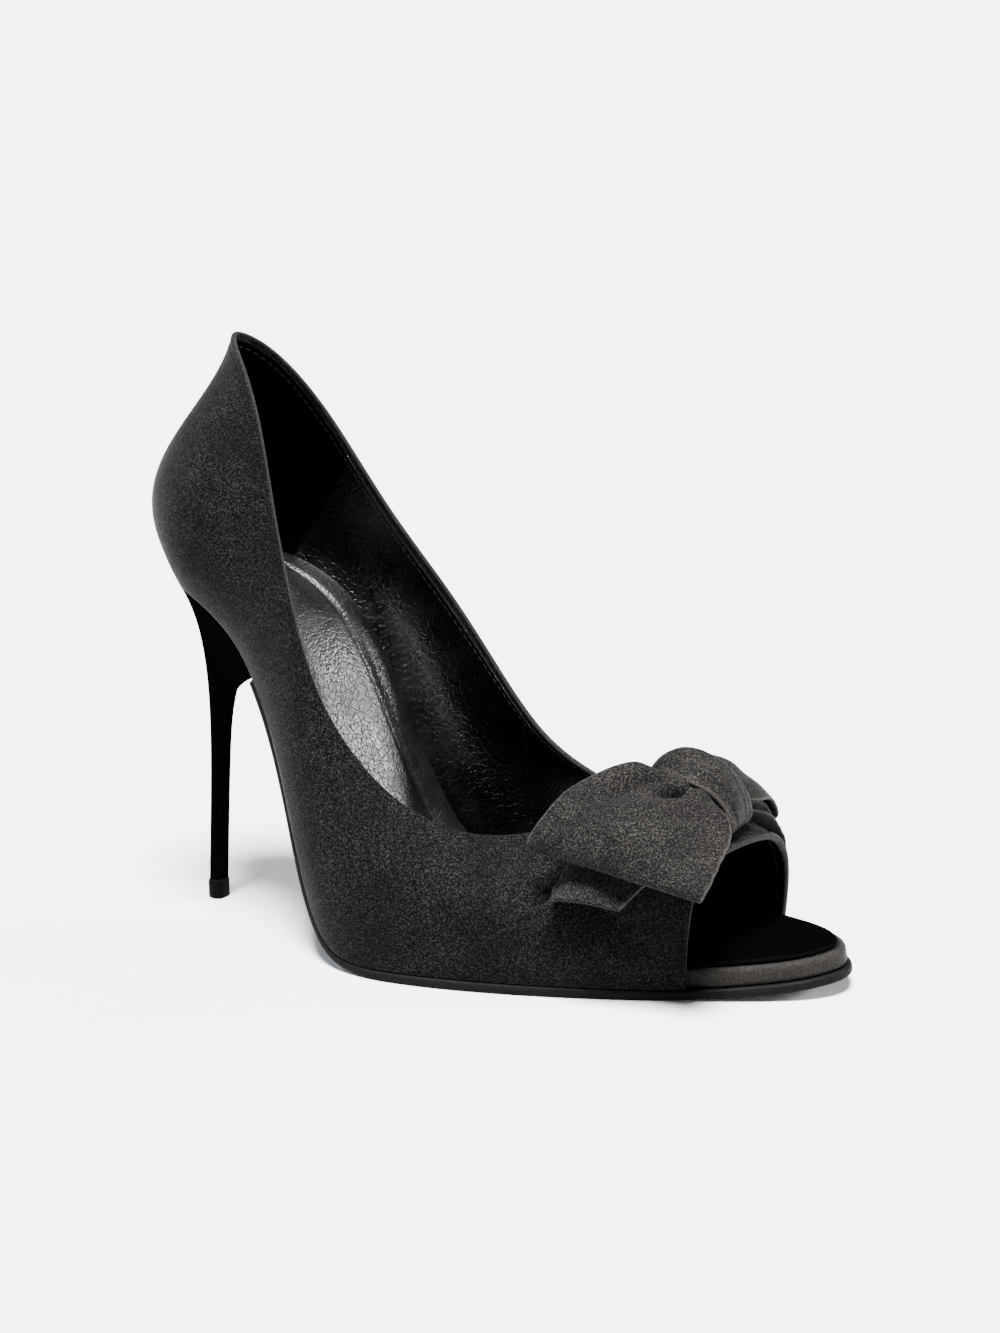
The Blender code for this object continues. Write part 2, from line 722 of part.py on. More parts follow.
def ribbon(name, rows, side, vamp, finish, collection):
    """One ribbon of even thickness through rows of its back and front edge. side is -1 for the outer side."""
    spline = Spline(rows)
    count = (len(rows) - 1) * RIBBON_STEPS
    middle = []
    for i in range(count + 1):
        turn_a, along_a, lift_a, turn_b, along_b, lift_b, hollow = spline(i / RIBBON_STEPS)
        row = []
        for j in range(RIBBON_ACROSS + 1):
            t = j / RIBBON_ACROSS
            turn = side * (turn_a + (turn_b - turn_a) * t)
            along = along_a + (along_b - along_a) * t
            lift = lift_a + (lift_b - lift_a) * t - hollow * math.sin(math.pi * t)
            row.append(vamp.point(turn, along, lift * LOOP_HEIGHT))
        middle.append(row)
    points = []
    for face in (1, -1):
        for i, row in enumerate(middle):
            for j, point in enumerate(row):
                down = middle[min(i + 1, count)][j] - middle[max(i - 1, 0)][j]
                across = row[min(j + 1, RIBBON_ACROSS)] - row[max(j - 1, 0)]
                points.append(point + face * down.cross(across).normalized() * RIBBON_THICKNESS / 2)
    rows_, columns = count + 1, RIBBON_ACROSS + 1
    size = rows_ * columns
    faces = grid_faces(rows_, columns) + grid_faces(rows_, columns, first=size)
    border = [(i, 0) for i in range(rows_)]
    border += [(rows_ - 1, j) for j in range(1, columns)]
    border += [(i, columns - 1) for i in range(rows_ - 2, -1, -1)]
    border += [(0, j) for j in range(columns - 2, 0, -1)]
    for (a, b), (c, d) in zip(border, border[1:] + border[:1]):
        here, ahead = a * columns + b, c * columns + d
        faces.append((here, ahead, ahead + size, here + size))
    return add_solid(name, points, faces, finish, collection)


def build_knot(vamp, finish, collection):
    """The band round the middle of the bow: a ring of ribbon, open at both sides where the loops come out."""
    profile = Spline([(along * SHOE_LENGTH, lift * KNOT_HEIGHT) for along, lift in KNOT], closed=True)
    points = []
    for inward in (0.0, KNOT_BAND):
        for i in range(KNOT_ACROSS + 1):
            aside = 2 * i / KNOT_ACROSS - 1
            for k in range(KNOT_AROUND):
                where = k * len(KNOT) / KNOT_AROUND
                x, lift = profile(where)
                step = profile(where + 0.05) - profile(where - 0.05)
                step /= np.linalg.norm(step)
                x, lift = x + inward * step[1], lift - inward * step[0]
                lift *= 1 - 0.16 * aside * aside * faded(lift, 0.0, 0.5 * KNOT_HEIGHT)
                points.append(vamp.point(aside * KNOT_TURN, x / SHOE_LENGTH, lift))
    faces = []
    size = (KNOT_ACROSS + 1) * KNOT_AROUND
    for k in range(KNOT_AROUND):
        ahead = (k + 1) % KNOT_AROUND
        for i in range(KNOT_ACROSS):
            a, b = i * KNOT_AROUND, (i + 1) * KNOT_AROUND
            for start in (0, size):
                faces.append((start + a + k, start + a + ahead, start + b + ahead, start + b + k))
        for i in (0, KNOT_ACROSS):
            a = i * KNOT_AROUND
            faces.append((a + k, a + ahead, size + a + ahead, size + a + k))
    return add_solid("bow_knot", points, faces, finish, collection)


def build_bow(upper, finish, collection):
    vamp = Vamp(upper)
    ribbon("bow_loop_outer", OUTER_LOOP, -1, vamp, finish, collection)
    ribbon("bow_loop_inner", INNER_LOOP, 1, vamp, finish, collection)
    ribbon("bow_tail_outer", OUTER_TAIL, -1, vamp, finish, collection)
    ribbon("bow_tail_inner", INNER_TAIL, 1, vamp, finish, collection)
    build_knot(vamp, finish, collection)


def centre(collection):
    """Moves everything so that the origin lies under the middle of the shoe, on the floor."""
    corners = [point.co for made in collection.objects for point in made.data.vertices]
    low = Vector([min(c[axis] for c in corners) for axis in range(3)])
    high = Vector([max(c[axis] for c in corners) for axis in range(3)])
    shift = Vector((-(low.x + high.x) / 2, -(low.y + high.y) / 2, -low.z))
    for made in collection.objects:
        made.data.transform(Matrix.Translation(shift))


def main():
    for old in list(bpy.data.objects):
        bpy.data.objects.remove(old)
    shoe = bpy.data.collections.new("peep_toe_pump")
    bpy.context.scene.collection.children.link(shoe)
    satin = material("black_satin", (0.030, 0.031, 0.030), 0.55)
    sole_leather = material("sole_leather", (0.020, 0.019, 0.018), 0.45)
    sock_leather = material("sock_leather", (0.035, 0.032, 0.030), 0.35)
    heel_satin = material("heel_cover", (0.010, 0.010, 0.010), 0.30)
    rubber = material("top_piece_rubber", (0.012, 0.012, 0.012), 0.50)
    upper = build_upper(satin, shoe)
    build_outsole(sole_leather, shoe)
    build_board(satin, shoe)
    build_sock(sock_leather, shoe)
    build_heel(heel_satin, rubber, shoe)
    build_bow(upper, satin, shoe)
    centre(shoe)


main()
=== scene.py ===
# %% [markdown]
# # A satin peep toe pump
#
# This script dresses one right shoe: a black satin pump with a stiletto heel, an open toe and a folded
# ribbon bow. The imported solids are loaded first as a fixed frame. Each piece is then made again finely
# enough to show its folded edges, padding and seams, and gets a finish made of nodes.
#
# Everything is in metres. X runs from the heel to the toe, Y towards the inner side of the foot, Z up.

# %% Load the frame
import json
import math

import bmesh
import bpy
import numpy as np
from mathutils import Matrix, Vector
from mathutils.bvhtree import BVHTree

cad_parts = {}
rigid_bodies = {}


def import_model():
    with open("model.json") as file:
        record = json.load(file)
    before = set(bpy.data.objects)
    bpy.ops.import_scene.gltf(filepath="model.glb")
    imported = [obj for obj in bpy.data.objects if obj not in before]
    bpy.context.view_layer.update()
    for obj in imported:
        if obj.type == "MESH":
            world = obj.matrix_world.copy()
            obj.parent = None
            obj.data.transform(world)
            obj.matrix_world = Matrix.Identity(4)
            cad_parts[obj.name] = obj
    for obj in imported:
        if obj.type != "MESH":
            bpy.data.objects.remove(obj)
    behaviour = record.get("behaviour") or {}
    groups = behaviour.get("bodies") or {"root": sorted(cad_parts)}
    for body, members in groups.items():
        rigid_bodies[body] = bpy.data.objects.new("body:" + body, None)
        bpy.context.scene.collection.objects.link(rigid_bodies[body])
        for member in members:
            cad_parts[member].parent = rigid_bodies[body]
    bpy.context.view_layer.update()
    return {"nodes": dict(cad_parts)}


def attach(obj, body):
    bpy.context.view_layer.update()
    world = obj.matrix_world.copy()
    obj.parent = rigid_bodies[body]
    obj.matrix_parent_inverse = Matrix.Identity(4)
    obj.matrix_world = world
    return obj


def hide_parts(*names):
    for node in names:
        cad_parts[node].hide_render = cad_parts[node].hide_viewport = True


for leftover in list(bpy.data.objects):
    bpy.data.objects.remove(leftover)
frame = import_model()

# %% [markdown]
# ## Sizes and the last
#
# A shoe is built round a last, a solid foot shape. A few named sizes drive everything: the length, the
# width at the ball, the heel height and the height of the counter above it. Short tables hold shares of
# those sizes, one row per section, and a spline turns the rows into smooth lines. This was chosen over
# sculpting because every seam and edge can then be placed on the surface by number.

# %% Driving sizes
SHOE_LENGTH = 0.215
BALL_WIDTH = 0.078
HEEL_HEIGHT = 0.0975
COLLAR_HEIGHT = 0.0725
UPPER_WALL = 0.0016
OUTSOLE_THICKNESS = 0.0028
OUTSOLE_WELT = 0.0006
WAIST_TUCK = 0.0012
BOARD_THICKNESS = 0.0050
SOCK_THICKNESS = 0.0012
SOCK_CROWN = 0.0012
TOE_SPRING = 0.0045
OPENING_HEIGHT = 0.0390
HEEL_STEM_WIDTH = 0.0060
HEEL_STEM_DEPTH = 0.0060
HEEL_TIP_X = 0.0170
HEEL_LEAN = 0.0036
TOP_PIECE_HEIGHT = 0.0060
TOP_PIECE_FLARE = 0.0004
SEAT_LENGTH = 0.0330
RIBBON_THICKNESS = 0.0010
LOOP_HEIGHT = 0.0180
KNOT_HEIGHT = 0.0180
KNOT_TURN = 12.0
KNOT_BAND = 0.0013
FIT_GAP = 0.0003
# Where the counter's back lies in the frame, whose origin is under the middle of the shoe.
SHIFT = np.array([-0.10753335, 0.00296034, 0.0])

# %% Tables of the last, the topline, the toe opening and the bow
# The sole's outline seen from above.
# along: share of SHOE_LENGTH. aside: share of BALL_WIDTH, minus is the outer side.
OUTLINE = (
    # along, aside
    (0.992, 0.060),
    (0.970, -0.065),
    (0.925, -0.155),
    (0.825, -0.285),
    (0.705, -0.420),
    (0.570, -0.530),
    (0.445, -0.575),
    (0.345, -0.515),
    (0.260, -0.350),
    (0.190, -0.280),
    (0.125, -0.270),
    (0.070, -0.205),
    (0.045, 0.000),
    (0.070, 0.205),
    (0.125, 0.285),
    (0.190, 0.300),
    (0.268, 0.292),
    (0.375, 0.295),
    (0.475, 0.385),
    (0.590, 0.460),
    (0.700, 0.490),
    (0.810, 0.465),
    (0.900, 0.370),
    (0.965, 0.230),
)
OUTLINE_BACK_ROW = 12

# The bottom of the last from the side. rise: share of HEEL_HEIGHT above the forefoot.
PROFILE = (
    # along, rise
    (0.000, 1.000),
    (0.090, 0.970),
    (0.165, 0.895),
    (0.215, 0.790),
    (0.251, 0.658),
    (0.288, 0.485),
    (0.335, 0.269),
    (0.381, 0.118),
    (0.425, 0.036),
    (0.475, 0.004),
    (0.540, 0.000),
    (0.760, 0.000),
)
TREAD_SKEW = 0.35
SKEW_START = 0.03
SKEW_FULL = 0.22
SPRING_START = 0.76

# The upper's ribs, in order round the shoe from the middle of the toe opening, outer side first.
# foot: how far round OUTLINE, in rows, the rib's foot stands. Ribs of the toe opening stand on OPENING.
# x, z: the collar's point as shares of SHOE_LENGTH and of the counter's full height.
# y: the same as a share of BALL_WIDTH.
# low, high: swell of the wall at a third and two thirds of its height, as shares of BALL_WIDTH.
RIBS = (
    # foot, x, y, z, low, high
    (None, 0.693, 0.040, 0.294, 0.020, 0.030),
    (None, 0.675, -0.115, 0.279, 0.050, 0.050),
    (None, 0.637, -0.218, 0.256, 0.110, 0.080),
    (3.00, 0.591, -0.295, 0.241, 0.190, 0.100),
    (4.30, 0.521, -0.372, 0.244, 0.170, 0.100),
    (5.45, 0.437, -0.425, 0.294, 0.110, 0.075),
    (6.45, 0.358, -0.425, 0.388, 0.080, 0.050),
    (7.55, 0.300, -0.398, 0.518, 0.090, 0.050),
    (9.10, 0.251, -0.335, 0.700, 0.100, 0.060),
    (10.40, 0.205, -0.237, 0.868, 0.210, 0.060),
    (11.30, 0.153, -0.128, 0.966, 0.330, 0.030),
    (12.00, 0.119, 0.000, 1.000, 0.410, 0.000),
    (12.70, 0.153, 0.128, 0.964, 0.330, 0.030),
    (13.60, 0.213, 0.255, 0.850, 0.200, 0.060),
    (14.95, 0.288, 0.325, 0.694, 0.100, 0.060),
    (16.10, 0.372, 0.372, 0.550, 0.100, 0.060),
    (17.20, 0.449, 0.368, 0.423, 0.110, 0.070),
    (18.35, 0.523, 0.335, 0.326, 0.130, 0.090),
    (19.75, 0.595, 0.290, 0.280, 0.170, 0.110),
    (21.45, 0.635, 0.218, 0.276, 0.190, 0.110),
    (None, 0.668, 0.150, 0.285, 0.120, 0.080),
    (None, 0.688, 0.105, 0.292, 0.050, 0.050),
)
# The toe opening's arch. along, aside as in OUTLINE; rise: share of the arch's height above the board.
OPENING = (
    # along, aside, rise
    (0.868, 0.045, 1.04),
    (0.847, -0.185, 0.97),
    (0.834, -0.300, 0.60),
    (0.866, 0.385, 0.50),
    (0.871, 0.255, 0.89),
)

# The bow's ribbons stand over the vamp. A turn is an angle in degrees about a line through the foot's
# middle, 0 upwards and growing outwards. Lifts are heights over the vamp, as shares of LOOP_HEIGHT.
VAMP_AXIS = 0.0150
VAMP_FROM = 0.715
VAMP_TO = 0.800
# A loop's rows run from its upper layer in the knot, round the fold, to its lower layer in the knot.
OUTER_LOOP = (
    # back turn, along, lift; front turn, along, lift; hollow of the middle
    (2.0, 0.756, 0.52, 2.0, 0.830, 0.43, -0.24),
    (13.5, 0.752, 0.62, 13.5, 0.836, 0.44, -0.21),
    (18.0, 0.738, 0.95, 20.0, 0.858, 0.62, 0.02),
    (31.0, 0.690, 0.95, 33.0, 0.879, 0.66, -0.06),
    (38.0, 0.673, 0.98, 48.0, 0.884, 0.86, -0.12),
    (45.5, 0.657, 0.94, 57.0, 0.884, 1.06, -0.10),
    (53.5, 0.640, 0.78, 63.0, 0.881, 1.22, -0.02),
    (52.5, 0.655, 0.55, 61.0, 0.872, 0.95, 0.03),
    (38.0, 0.692, 0.44, 46.0, 0.862, 0.54, 0.00),
    (16.0, 0.748, 0.25, 16.0, 0.838, 0.25, 0.00),
    (2.0, 0.756, 0.24, 2.0, 0.830, 0.24, 0.00),
)
INNER_LOOP = (
    # back turn, along, lift; front turn, along, lift; hollow of the middle
    (2.0, 0.756, 0.52, 2.0, 0.830, 0.42, -0.30),
    (13.5, 0.752, 0.50, 13.5, 0.836, 0.36, -0.26),
    (22.0, 0.734, 0.58, 22.0, 0.852, 0.38, -0.12),
    (36.0, 0.722, 0.62, 36.0, 0.850, 0.40, -0.22),
    (49.0, 0.712, 0.58, 50.0, 0.844, 0.42, -0.18),
    (58.0, 0.706, 0.48, 58.0, 0.838, 0.46, -0.06),
    (55.0, 0.714, 0.38, 55.0, 0.836, 0.34, 0.00),
    (38.0, 0.732, 0.31, 38.0, 0.838, 0.30, 0.00),
    (16.0, 0.750, 0.25, 16.0, 0.836, 0.25, 0.00),
    (2.0, 0.756, 0.24, 2.0, 0.830, 0.24, 0.00),
)
# A tail's rows run from the knot to its cut end, below the loop.
OUTER_TAIL = (
    # back turn, along, lift; front turn, along, lift; hollow of the middle
    (2.0, 0.756, 0.150, 2.0, 0.830, 0.150, 0.00),
    (15.0, 0.748, 0.150, 15.0, 0.833, 0.150, 0.00),
    (38.0, 0.705, 0.17, 36.0, 0.815, 0.18, -0.01),
    (55.0, 0.680, 0.40, 55.0, 0.796, 0.44, -0.05),
    (70.0, 0.664, 0.62, 70.0, 0.772, 0.80, -0.02),
)
INNER_TAIL = (
    # back turn, along, lift; front turn, along, lift; hollow of the middle
    (2.0, 0.756, 0.150, 2.0, 0.830, 0.150, 0.00),
    (15.0, 0.748, 0.150, 15.0, 0.836, 0.150, 0.00),
    (36.0, 0.737, 0.13, 36.0, 0.846, 0.14, 0.00),
    (54.0, 0.740, 0.20, 54.0, 0.850, 0.20, -0.02),
    (70.0, 0.750, 0.24, 76.0, 0.852, 0.26, -0.03),
)
# The knot's band from the side.
KNOT = (
    # along, lift as a share of KNOT_HEIGHT
    (0.752, 0.035),
    (0.737, 0.150),
    (0.731, 0.420),
    (0.742, 0.720),
    (0.768, 0.940),
    (0.800, 1.000),
    (0.830, 0.910),
    (0.848, 0.680),
    (0.857, 0.380),
    (0.854, 0.130),
    (0.838, 0.035),
    (0.795, 0.030),
)

# %% Smooth lines through the tables
def faded(value, low, high):
    """0 below low, 1 above high, and a smooth step between them."""
    share = min(1.0, max(0.0, (value - low) / (high - low)))
    return share * share * (3.0 - 2.0 * share)


def bell(value):
    """1 at 0, falling smoothly towards 0 on both sides."""
    return math.exp(-(value**2))


class Spline:
    """A smooth line through rows of values, one at each whole number, closed or with free ends."""

    def __init__(self, rows, closed=False, at=None):
        self.rows = np.array(rows, float)
        self.closed = closed
        count = len(rows)
        self.at = np.arange(count, dtype=float) if at is None else np.array(at, float)
        if closed:
            self.rows = np.vstack([self.rows, self.rows[:1]])
            self.at = np.append(self.at, float(count))
        steps = np.diff(self.at)
        knots = len(self.at)
        matrix = np.zeros((knots, knots))
        right = np.zeros((knots, self.rows.shape[1]))
        for k in range(1, knots - 1):
            matrix[k, k - 1 : k + 2] = steps[k - 1], 2 * (steps[k - 1] + steps[k]), steps[k]
            slopes = np.diff(self.rows[k - 1 : k + 2], axis=0) / steps[k - 1 : k + 1, None]
            right[k] = 6 * (slopes[1] - slopes[0])
        if closed:
            matrix[0, 0], matrix[0, -1] = 1, -1
            matrix[-1, 0], matrix[-1, 1] = 2 * steps[0], steps[0]
            matrix[-1, -2], matrix[-1, -1] = steps[-1], 2 * steps[-1]
            first = (self.rows[1] - self.rows[0]) / steps[0]
            last = (self.rows[-1] - self.rows[-2]) / steps[-1]
            right[-1] = 6 * (first - last)
        else:
            matrix[0, 0] = matrix[-1, -1] = 1
        self.bends = np.linalg.solve(matrix, right)

    def __call__(self, where):
        if self.closed:
            where = where % self.at[-1]
        k = int(np.clip(np.searchsorted(self.at, where, side="right") - 1, 0, len(self.at) - 2))
        step = self.at[k + 1] - self.at[k]
        a = (self.at[k + 1] - where) / step
        b = 1 - a
        curve = (a**3 - a) * self.bends[k] + (b**3 - b) * self.bends[k + 1]
        return a * self.rows[k] + b * self.rows[k + 1] + curve * step * step / 6


outline_spline = Spline([(a * SHOE_LENGTH, b * BALL_WIDTH) for a, b in OUTLINE], closed=True)
profile_spline = Spline([(z * HEEL_HEIGHT,) for _, z in PROFILE], at=[a * SHOE_LENGTH for a, _ in PROFILE])


def outline(where, inset=0.0):
    """A point of the sole's outline, moved inwards by inset. where counts OUTLINE's rows."""
    point = outline_spline(where)
    if inset == 0.0:
        return point
    ahead, behind = outline_spline(where + 0.02), outline_spline(where - 0.02)
    along = (ahead - behind) / np.linalg.norm(ahead - behind)
    return point + inset * np.array([along[1], -along[0]]) * OUTLINE_TURN


def outline_turn():
    """1 if OUTLINE runs clockwise seen from above, else -1."""
    points = np.array([outline_spline(k) for k in range(len(OUTLINE))])
    ahead = np.roll(points, -1, axis=0)
    area = np.sum(points[:, 0] * ahead[:, 1] - ahead[:, 0] * points[:, 1])
    return 1.0 if area < 0 else -1.0


OUTLINE_TURN = outline_turn()


def sole_height(x, y):
    """Height of the last's bottom above the floor. The tread lies askew: the outer ball is further back."""
    skew = TREAD_SKEW * faded(x, SKEW_START * SHOE_LENGTH, SKEW_FULL * SHOE_LENGTH)
    skew *= 1.0 - faded(x, 0.55 * SHOE_LENGTH, SPRING_START * SHOE_LENGTH)
    along = x - skew * y
    flat = PROFILE[-1][0] * SHOE_LENGTH
    rise = 0.0 if along >= flat else max(0.0, float(profile_spline(max(0.0, along))[0]))
    reach = max(0.0, x / SHOE_LENGTH - SPRING_START) / (1.0 - SPRING_START)
    return OUTSOLE_THICKNESS + rise + TOE_SPRING * reach * reach


def on_sole(x, y, lift=0.0):
    """The point lift above the last's bottom, square to it."""
    near = 0.0005
    slope_x = (sole_height(x + near, y) - sole_height(x - near, y)) / (2 * near)
    slope_y = (sole_height(x, y + near) - sole_height(x, y - near)) / (2 * near)
    normal = Vector((-slope_x, -slope_y, 1.0)).normalized()
    return Vector((x, y, sole_height(x, y))) + normal * lift


# %% The upper's ribs
def rib_feet():
    """A function from a place round the ribs to its foot, on the outline or the toe opening's arch."""
    count = len(RIBS)
    side = [k for k, rib in enumerate(RIBS) if rib[0] is not None]
    first, last = side[0], side[-1]
    places = Spline([(RIBS[k][0],) for k in side], at=side)
    lift = BOARD_THICKNESS + OUTSOLE_THICKNESS

    def arch_point(row):
        along, aside, rise = OPENING[row]
        return along * SHOE_LENGTH, aside * BALL_WIDTH, lift + rise * (OPENING_HEIGHT - lift)

    def corner(k):
        x, y = outline(RIBS[k][0])
        return tuple(on_sole(x, y, FIT_GAP))

    arch_rows = [arch_point(row) for row in (3, 4, 0, 1, 2)]
    arch = Spline([corner(last), *arch_rows, corner(first)], at=[last - count, -2, -1, 0, 1, 2, first])

    def foot(where, inset=0.0):
        where = (where + count - last) % count + last - count
        if first <= where or where <= last - count:
            place = where if where >= first else where + count
            x, y = outline(float(places(place)[0]), inset)
            return on_sole(x, y, FIT_GAP)
        return Vector(arch(where))

    return foot, first, last


def collar_spline():
    height = HEEL_HEIGHT + COLLAR_HEIGHT
    sizes = np.array([SHOE_LENGTH, BALL_WIDTH, height, BALL_WIDTH, BALL_WIDTH])
    return Spline([np.array(rib[1:]) * sizes for rib in RIBS], closed=True)


def along_turn(share):
    """Spaces a layer's rows more closely at the heel's back and the toe."""
    return 0.3 * share + 0.7 * (1 - math.cos(math.pi * share)) / 2


def breast_share():
    """The share of the way from the heel's back to the toe at which the heel's breast stands."""
    half = len(OUTLINE) / 2
    low, high = 0.0, 1.0
    for _ in range(40):
        share = (low + high) / 2
        x = outline(OUTLINE_BACK_ROW - half * along_turn(share))[0]
        if x < SEAT_LENGTH + outline(OUTLINE_BACK_ROW)[0]:
            low = share
        else:
            high = share
    return low


_, corner_first, corner_last = rib_feet()


def past_corner(place):
    """0 where the upper stands on the outline and 1 where the toe is open, with a short step between."""
    first, last = corner_first, corner_last
    place = place % len(OUTLINE)
    ahead = place - RIBS[last][0] if place > len(OUTLINE) / 2 else RIBS[first][0] - place
    return faded(ahead, 0.06, 0.28)


def stem_outline(angle, width, depth):
    """A stiletto's section: a round back and a flat, slightly hollow breast. Angle 0 points to the toe."""
    x, y = math.cos(angle), math.sin(angle)
    front = depth / 2 * (0.62 if x > 0 else 1.0)
    return front * math.copysign(abs(x) ** 0.9, x), width / 2 * math.copysign(abs(y) ** 0.8, y)


def seat_outline(angle):
    """The heel's top edge under the seat: the outline's back, closed by the breast line."""
    back_x = outline(OUTLINE_BACK_ROW)[0]
    centre = Vector((back_x + 0.55 * SEAT_LENGTH, 0.0))
    far = 0.06
    inset = 0.0002
    places = np.linspace(OUTLINE_BACK_ROW - 4.0, OUTLINE_BACK_ROW + 4.0, 241)
    direction = Vector((math.cos(angle), math.sin(angle)))
    breast = back_x + SEAT_LENGTH - FIT_GAP
    best = far
    previous = None
    for place in places:
        point = Vector(outline(place, inset)) - centre
        side = direction.x * point.y - direction.y * point.x
        if previous is not None and side * previous[0] <= 0 and point.dot(direction) > 0:
            share = previous[0] / (previous[0] - side) if previous[0] != side else 0.0
            best = min(best, (previous[1] + (point - previous[1]) * share).length)
        previous = (side, point)
    if direction.x > 0:
        best = min(best, (breast - centre.x) / direction.x)
    return centre.x + direction.x * best, centre.y + direction.y * best

# %% [markdown]
# ## Finishes written as sums
#
# A finish is a small network of nodes. Writing it as arithmetic keeps it readable, so one class wraps a
# socket and lets `+`, `-` and `*` add the Math nodes. Every other node comes from one method.
# What is the same all over a piece is set on the shader's own socket, and only colour, roughness and the
# bump under the Normal socket change over the surface.

# %% A socket that can be added and multiplied, and a finish that holds the nodes
class Sum:
    """An output socket, or a sum of several."""

    def __init__(self, finish, socket):
        self.finish = finish
        self.socket = socket

    def math(self, operation, first, second=0.0):
        return self.finish.node("ShaderNodeMath", {"operation": operation}, {0: first, 1: second})

    def __add__(self, other):
        return self.math("ADD", self, other)

    def __sub__(self, other):
        return self.math("SUBTRACT", self, other)

    def __mul__(self, other):
        return self.math("MULTIPLY", self, other)

    __rmul__ = __mul__


class Finish:
    """A material on one shader. constants: the sockets' values that are the same all over a piece."""

    def __init__(self, name, constants):
        self.material = bpy.data.materials.new(name)
        self.material.use_nodes = True
        self.nodes = self.material.node_tree.nodes
        self.links = self.material.node_tree.links
        self.shader = self.nodes["Principled BSDF"]
        for socket, value in constants.items():
            self.shader.inputs[socket].default_value = value

    def node(self, kind, settings, inputs, output=0):
        made = self.nodes.new(kind)
        for name, value in settings.items():
            setattr(made, name, value)
        for key, value in inputs.items():
            if isinstance(value, Sum):
                self.links.new(value.socket, made.inputs[key])
            else:
                made.inputs[key].default_value = value
        return Sum(self, made.outputs[output])

    def place(self):
        """The point's own place on the piece, in metres."""
        return self.node("ShaderNodeTexCoord", {}, {}, "Object")

    def mark(self, name):
        """A number that the mesh carries at each point."""
        return self.node("ShaderNodeAttribute", {"attribute_name": name}, {}, "Fac")

    def cloth_place(self):
        """The piece's UV map, laid out in metres along and across the cloth."""
        return self.node("ShaderNodeUVMap", {"uv_map": "cloth"}, {})

    def noise(self, size, detail, rough):
        inputs = {"Vector": self.place(), "Scale": 1.0 / size, "Detail": detail, "Roughness": rough}
        return self.node("ShaderNodeTexNoise", {}, inputs, "Fac")

    def cells(self, size, feature="F1"):
        inputs = {"Vector": self.place(), "Scale": 1.0 / size}
        return self.node("ShaderNodeTexVoronoi", {"feature": feature}, inputs, "Distance")

    def step(self, value, low, high, start=0.0, end=1.0):
        """start below low, end above high, with a smooth change between them."""
        settings = {"interpolation_type": "SMOOTHSTEP"}
        return self.node("ShaderNodeMapRange", settings, {0: value, 1: low, 2: high, 3: start, 4: end})

    def line(self, distance, width):
        """1 where distance is 0, falling to 0 at half of width."""
        away = distance.math("ABSOLUTE", distance)
        return self.step(away, 0.0, width / 2, 1.0, 0.0)

    def colour(self, share, first, second):
        return self.node("ShaderNodeMix", {"data_type": "RGBA"}, {0: share, 6: first, 7: second}, 2)

    def bump(self, height, depth, strength):
        return self.node("ShaderNodeBump", {}, {"Height": height, "Distance": depth, "Strength": strength})

    def use(self, socket, value):
        self.links.new(value.socket, self.shader.inputs[socket])


def grey(value, warmth=0.0):
    """A near neutral colour, warmer as warmth grows."""
    return (value * (1 + warmth), value, value * (1 - warmth), 1.0)


# %% [markdown]
# ## Satin
#
# Satin is woven so that long threads float on its face, which gives black satin a soft grey bloom where it
# turns away from the eye, and fine pale specks where threads catch the light. Sheen on the shader gives the
# bloom. The specks are painted glints: a noise about two threads across paints them pale into the colour, a
# broad one thins them out in clouds, and the weave's own lines follow the UV map. Folded edges get a
# painted highlight, a lighter line in the colour along each edge.

# %% Satin, for the upper, the wrapped board and the bow
SHEEN_TINT = (0.86, 0.93, 1.0, 1.0)
THREAD_PITCH = 0.00022
WEAVE_CELL = 0.00055
WEAVE_DEPTH = 0.00006
CLOUD_SIZE = 0.012
SATIN_EDGE_HIGHLIGHT = 0.0014
SIDE_SEAM_WIDTH = 0.0007


def satin(name, base, speck, speck_size, sheen):
    """base and speck: the grey of the cloth and of its pale specks, which are painted glints where threads
    would catch the light.
    """
    made = Finish(name, {
        "Specular IOR Level": 0.010, "Sheen Weight": sheen, "Sheen Roughness": 0.45,
        "Sheen Tint": SHEEN_TINT})
    fine = made.noise(speck_size, 3.0, 0.65)
    broad = made.noise(CLOUD_SIZE, 2.0, 0.5)
    thread = made.node("ShaderNodeTexWave", {"bands_direction": "Y"}, {
        "Vector": made.cloth_place(), "Scale": 1.0 / (2 * math.pi * THREAD_PITCH) * 2.0,
        "Distortion": 1.4, "Detail": 1.0, "Detail Scale": 3.0}, "Fac")
    # The specks are painted glints: pale colour where threads would catch the light, thinned out in clouds.
    specks = made.step(fine, 0.44, 0.70) * made.step(broad, 0.25, 0.7, 0.55, 1.0)
    # Painted highlight: the colour is lightened in a thin line along each folded edge, where the rim would
    # catch the light.
    painted_edge_highlight = made.line(made.mark("edge"), SATIN_EDGE_HIGHLIGHT)
    made.use("Base Color", made.colour(specks + 0.5 * painted_edge_highlight, grey(base, 0.02), grey(speck, 0.09)))
    made.use("Roughness", made.step(fine, 0.3, 0.7, 0.60, 0.44))
    seam = made.line(made.mark("side"), SIDE_SEAM_WIDTH)
    height = 0.5 * thread + 0.8 * fine + 0.5 * made.cells(WEAVE_CELL) - 4.0 * seam
    made.use("Normal", made.bump(height, WEAVE_DEPTH, 0.8))
    return made.material


upper_satin = satin("woven_satin", 0.0006, 0.0135, 0.00050, 0.016)
bow_satin = satin("ribbon_satin", 0.0022, 0.0250, 0.00048, 0.012)

# %% [markdown]
# ## Leathers, heel cover and rubber
#
# The lining and the sock are glossy black leather. Leather grain is a net of tiny pebbles with creases
# between them, and Voronoi cells give both. The sock shines most where its padding stands up. The back of
# the heel and the toe end of the sock are matt suede, which holds the foot.

# %% Glossy leather, for the lining and the sock
SHINE_PATCH = 0.009
LINING_SEAM_WIDTH = 0.0011


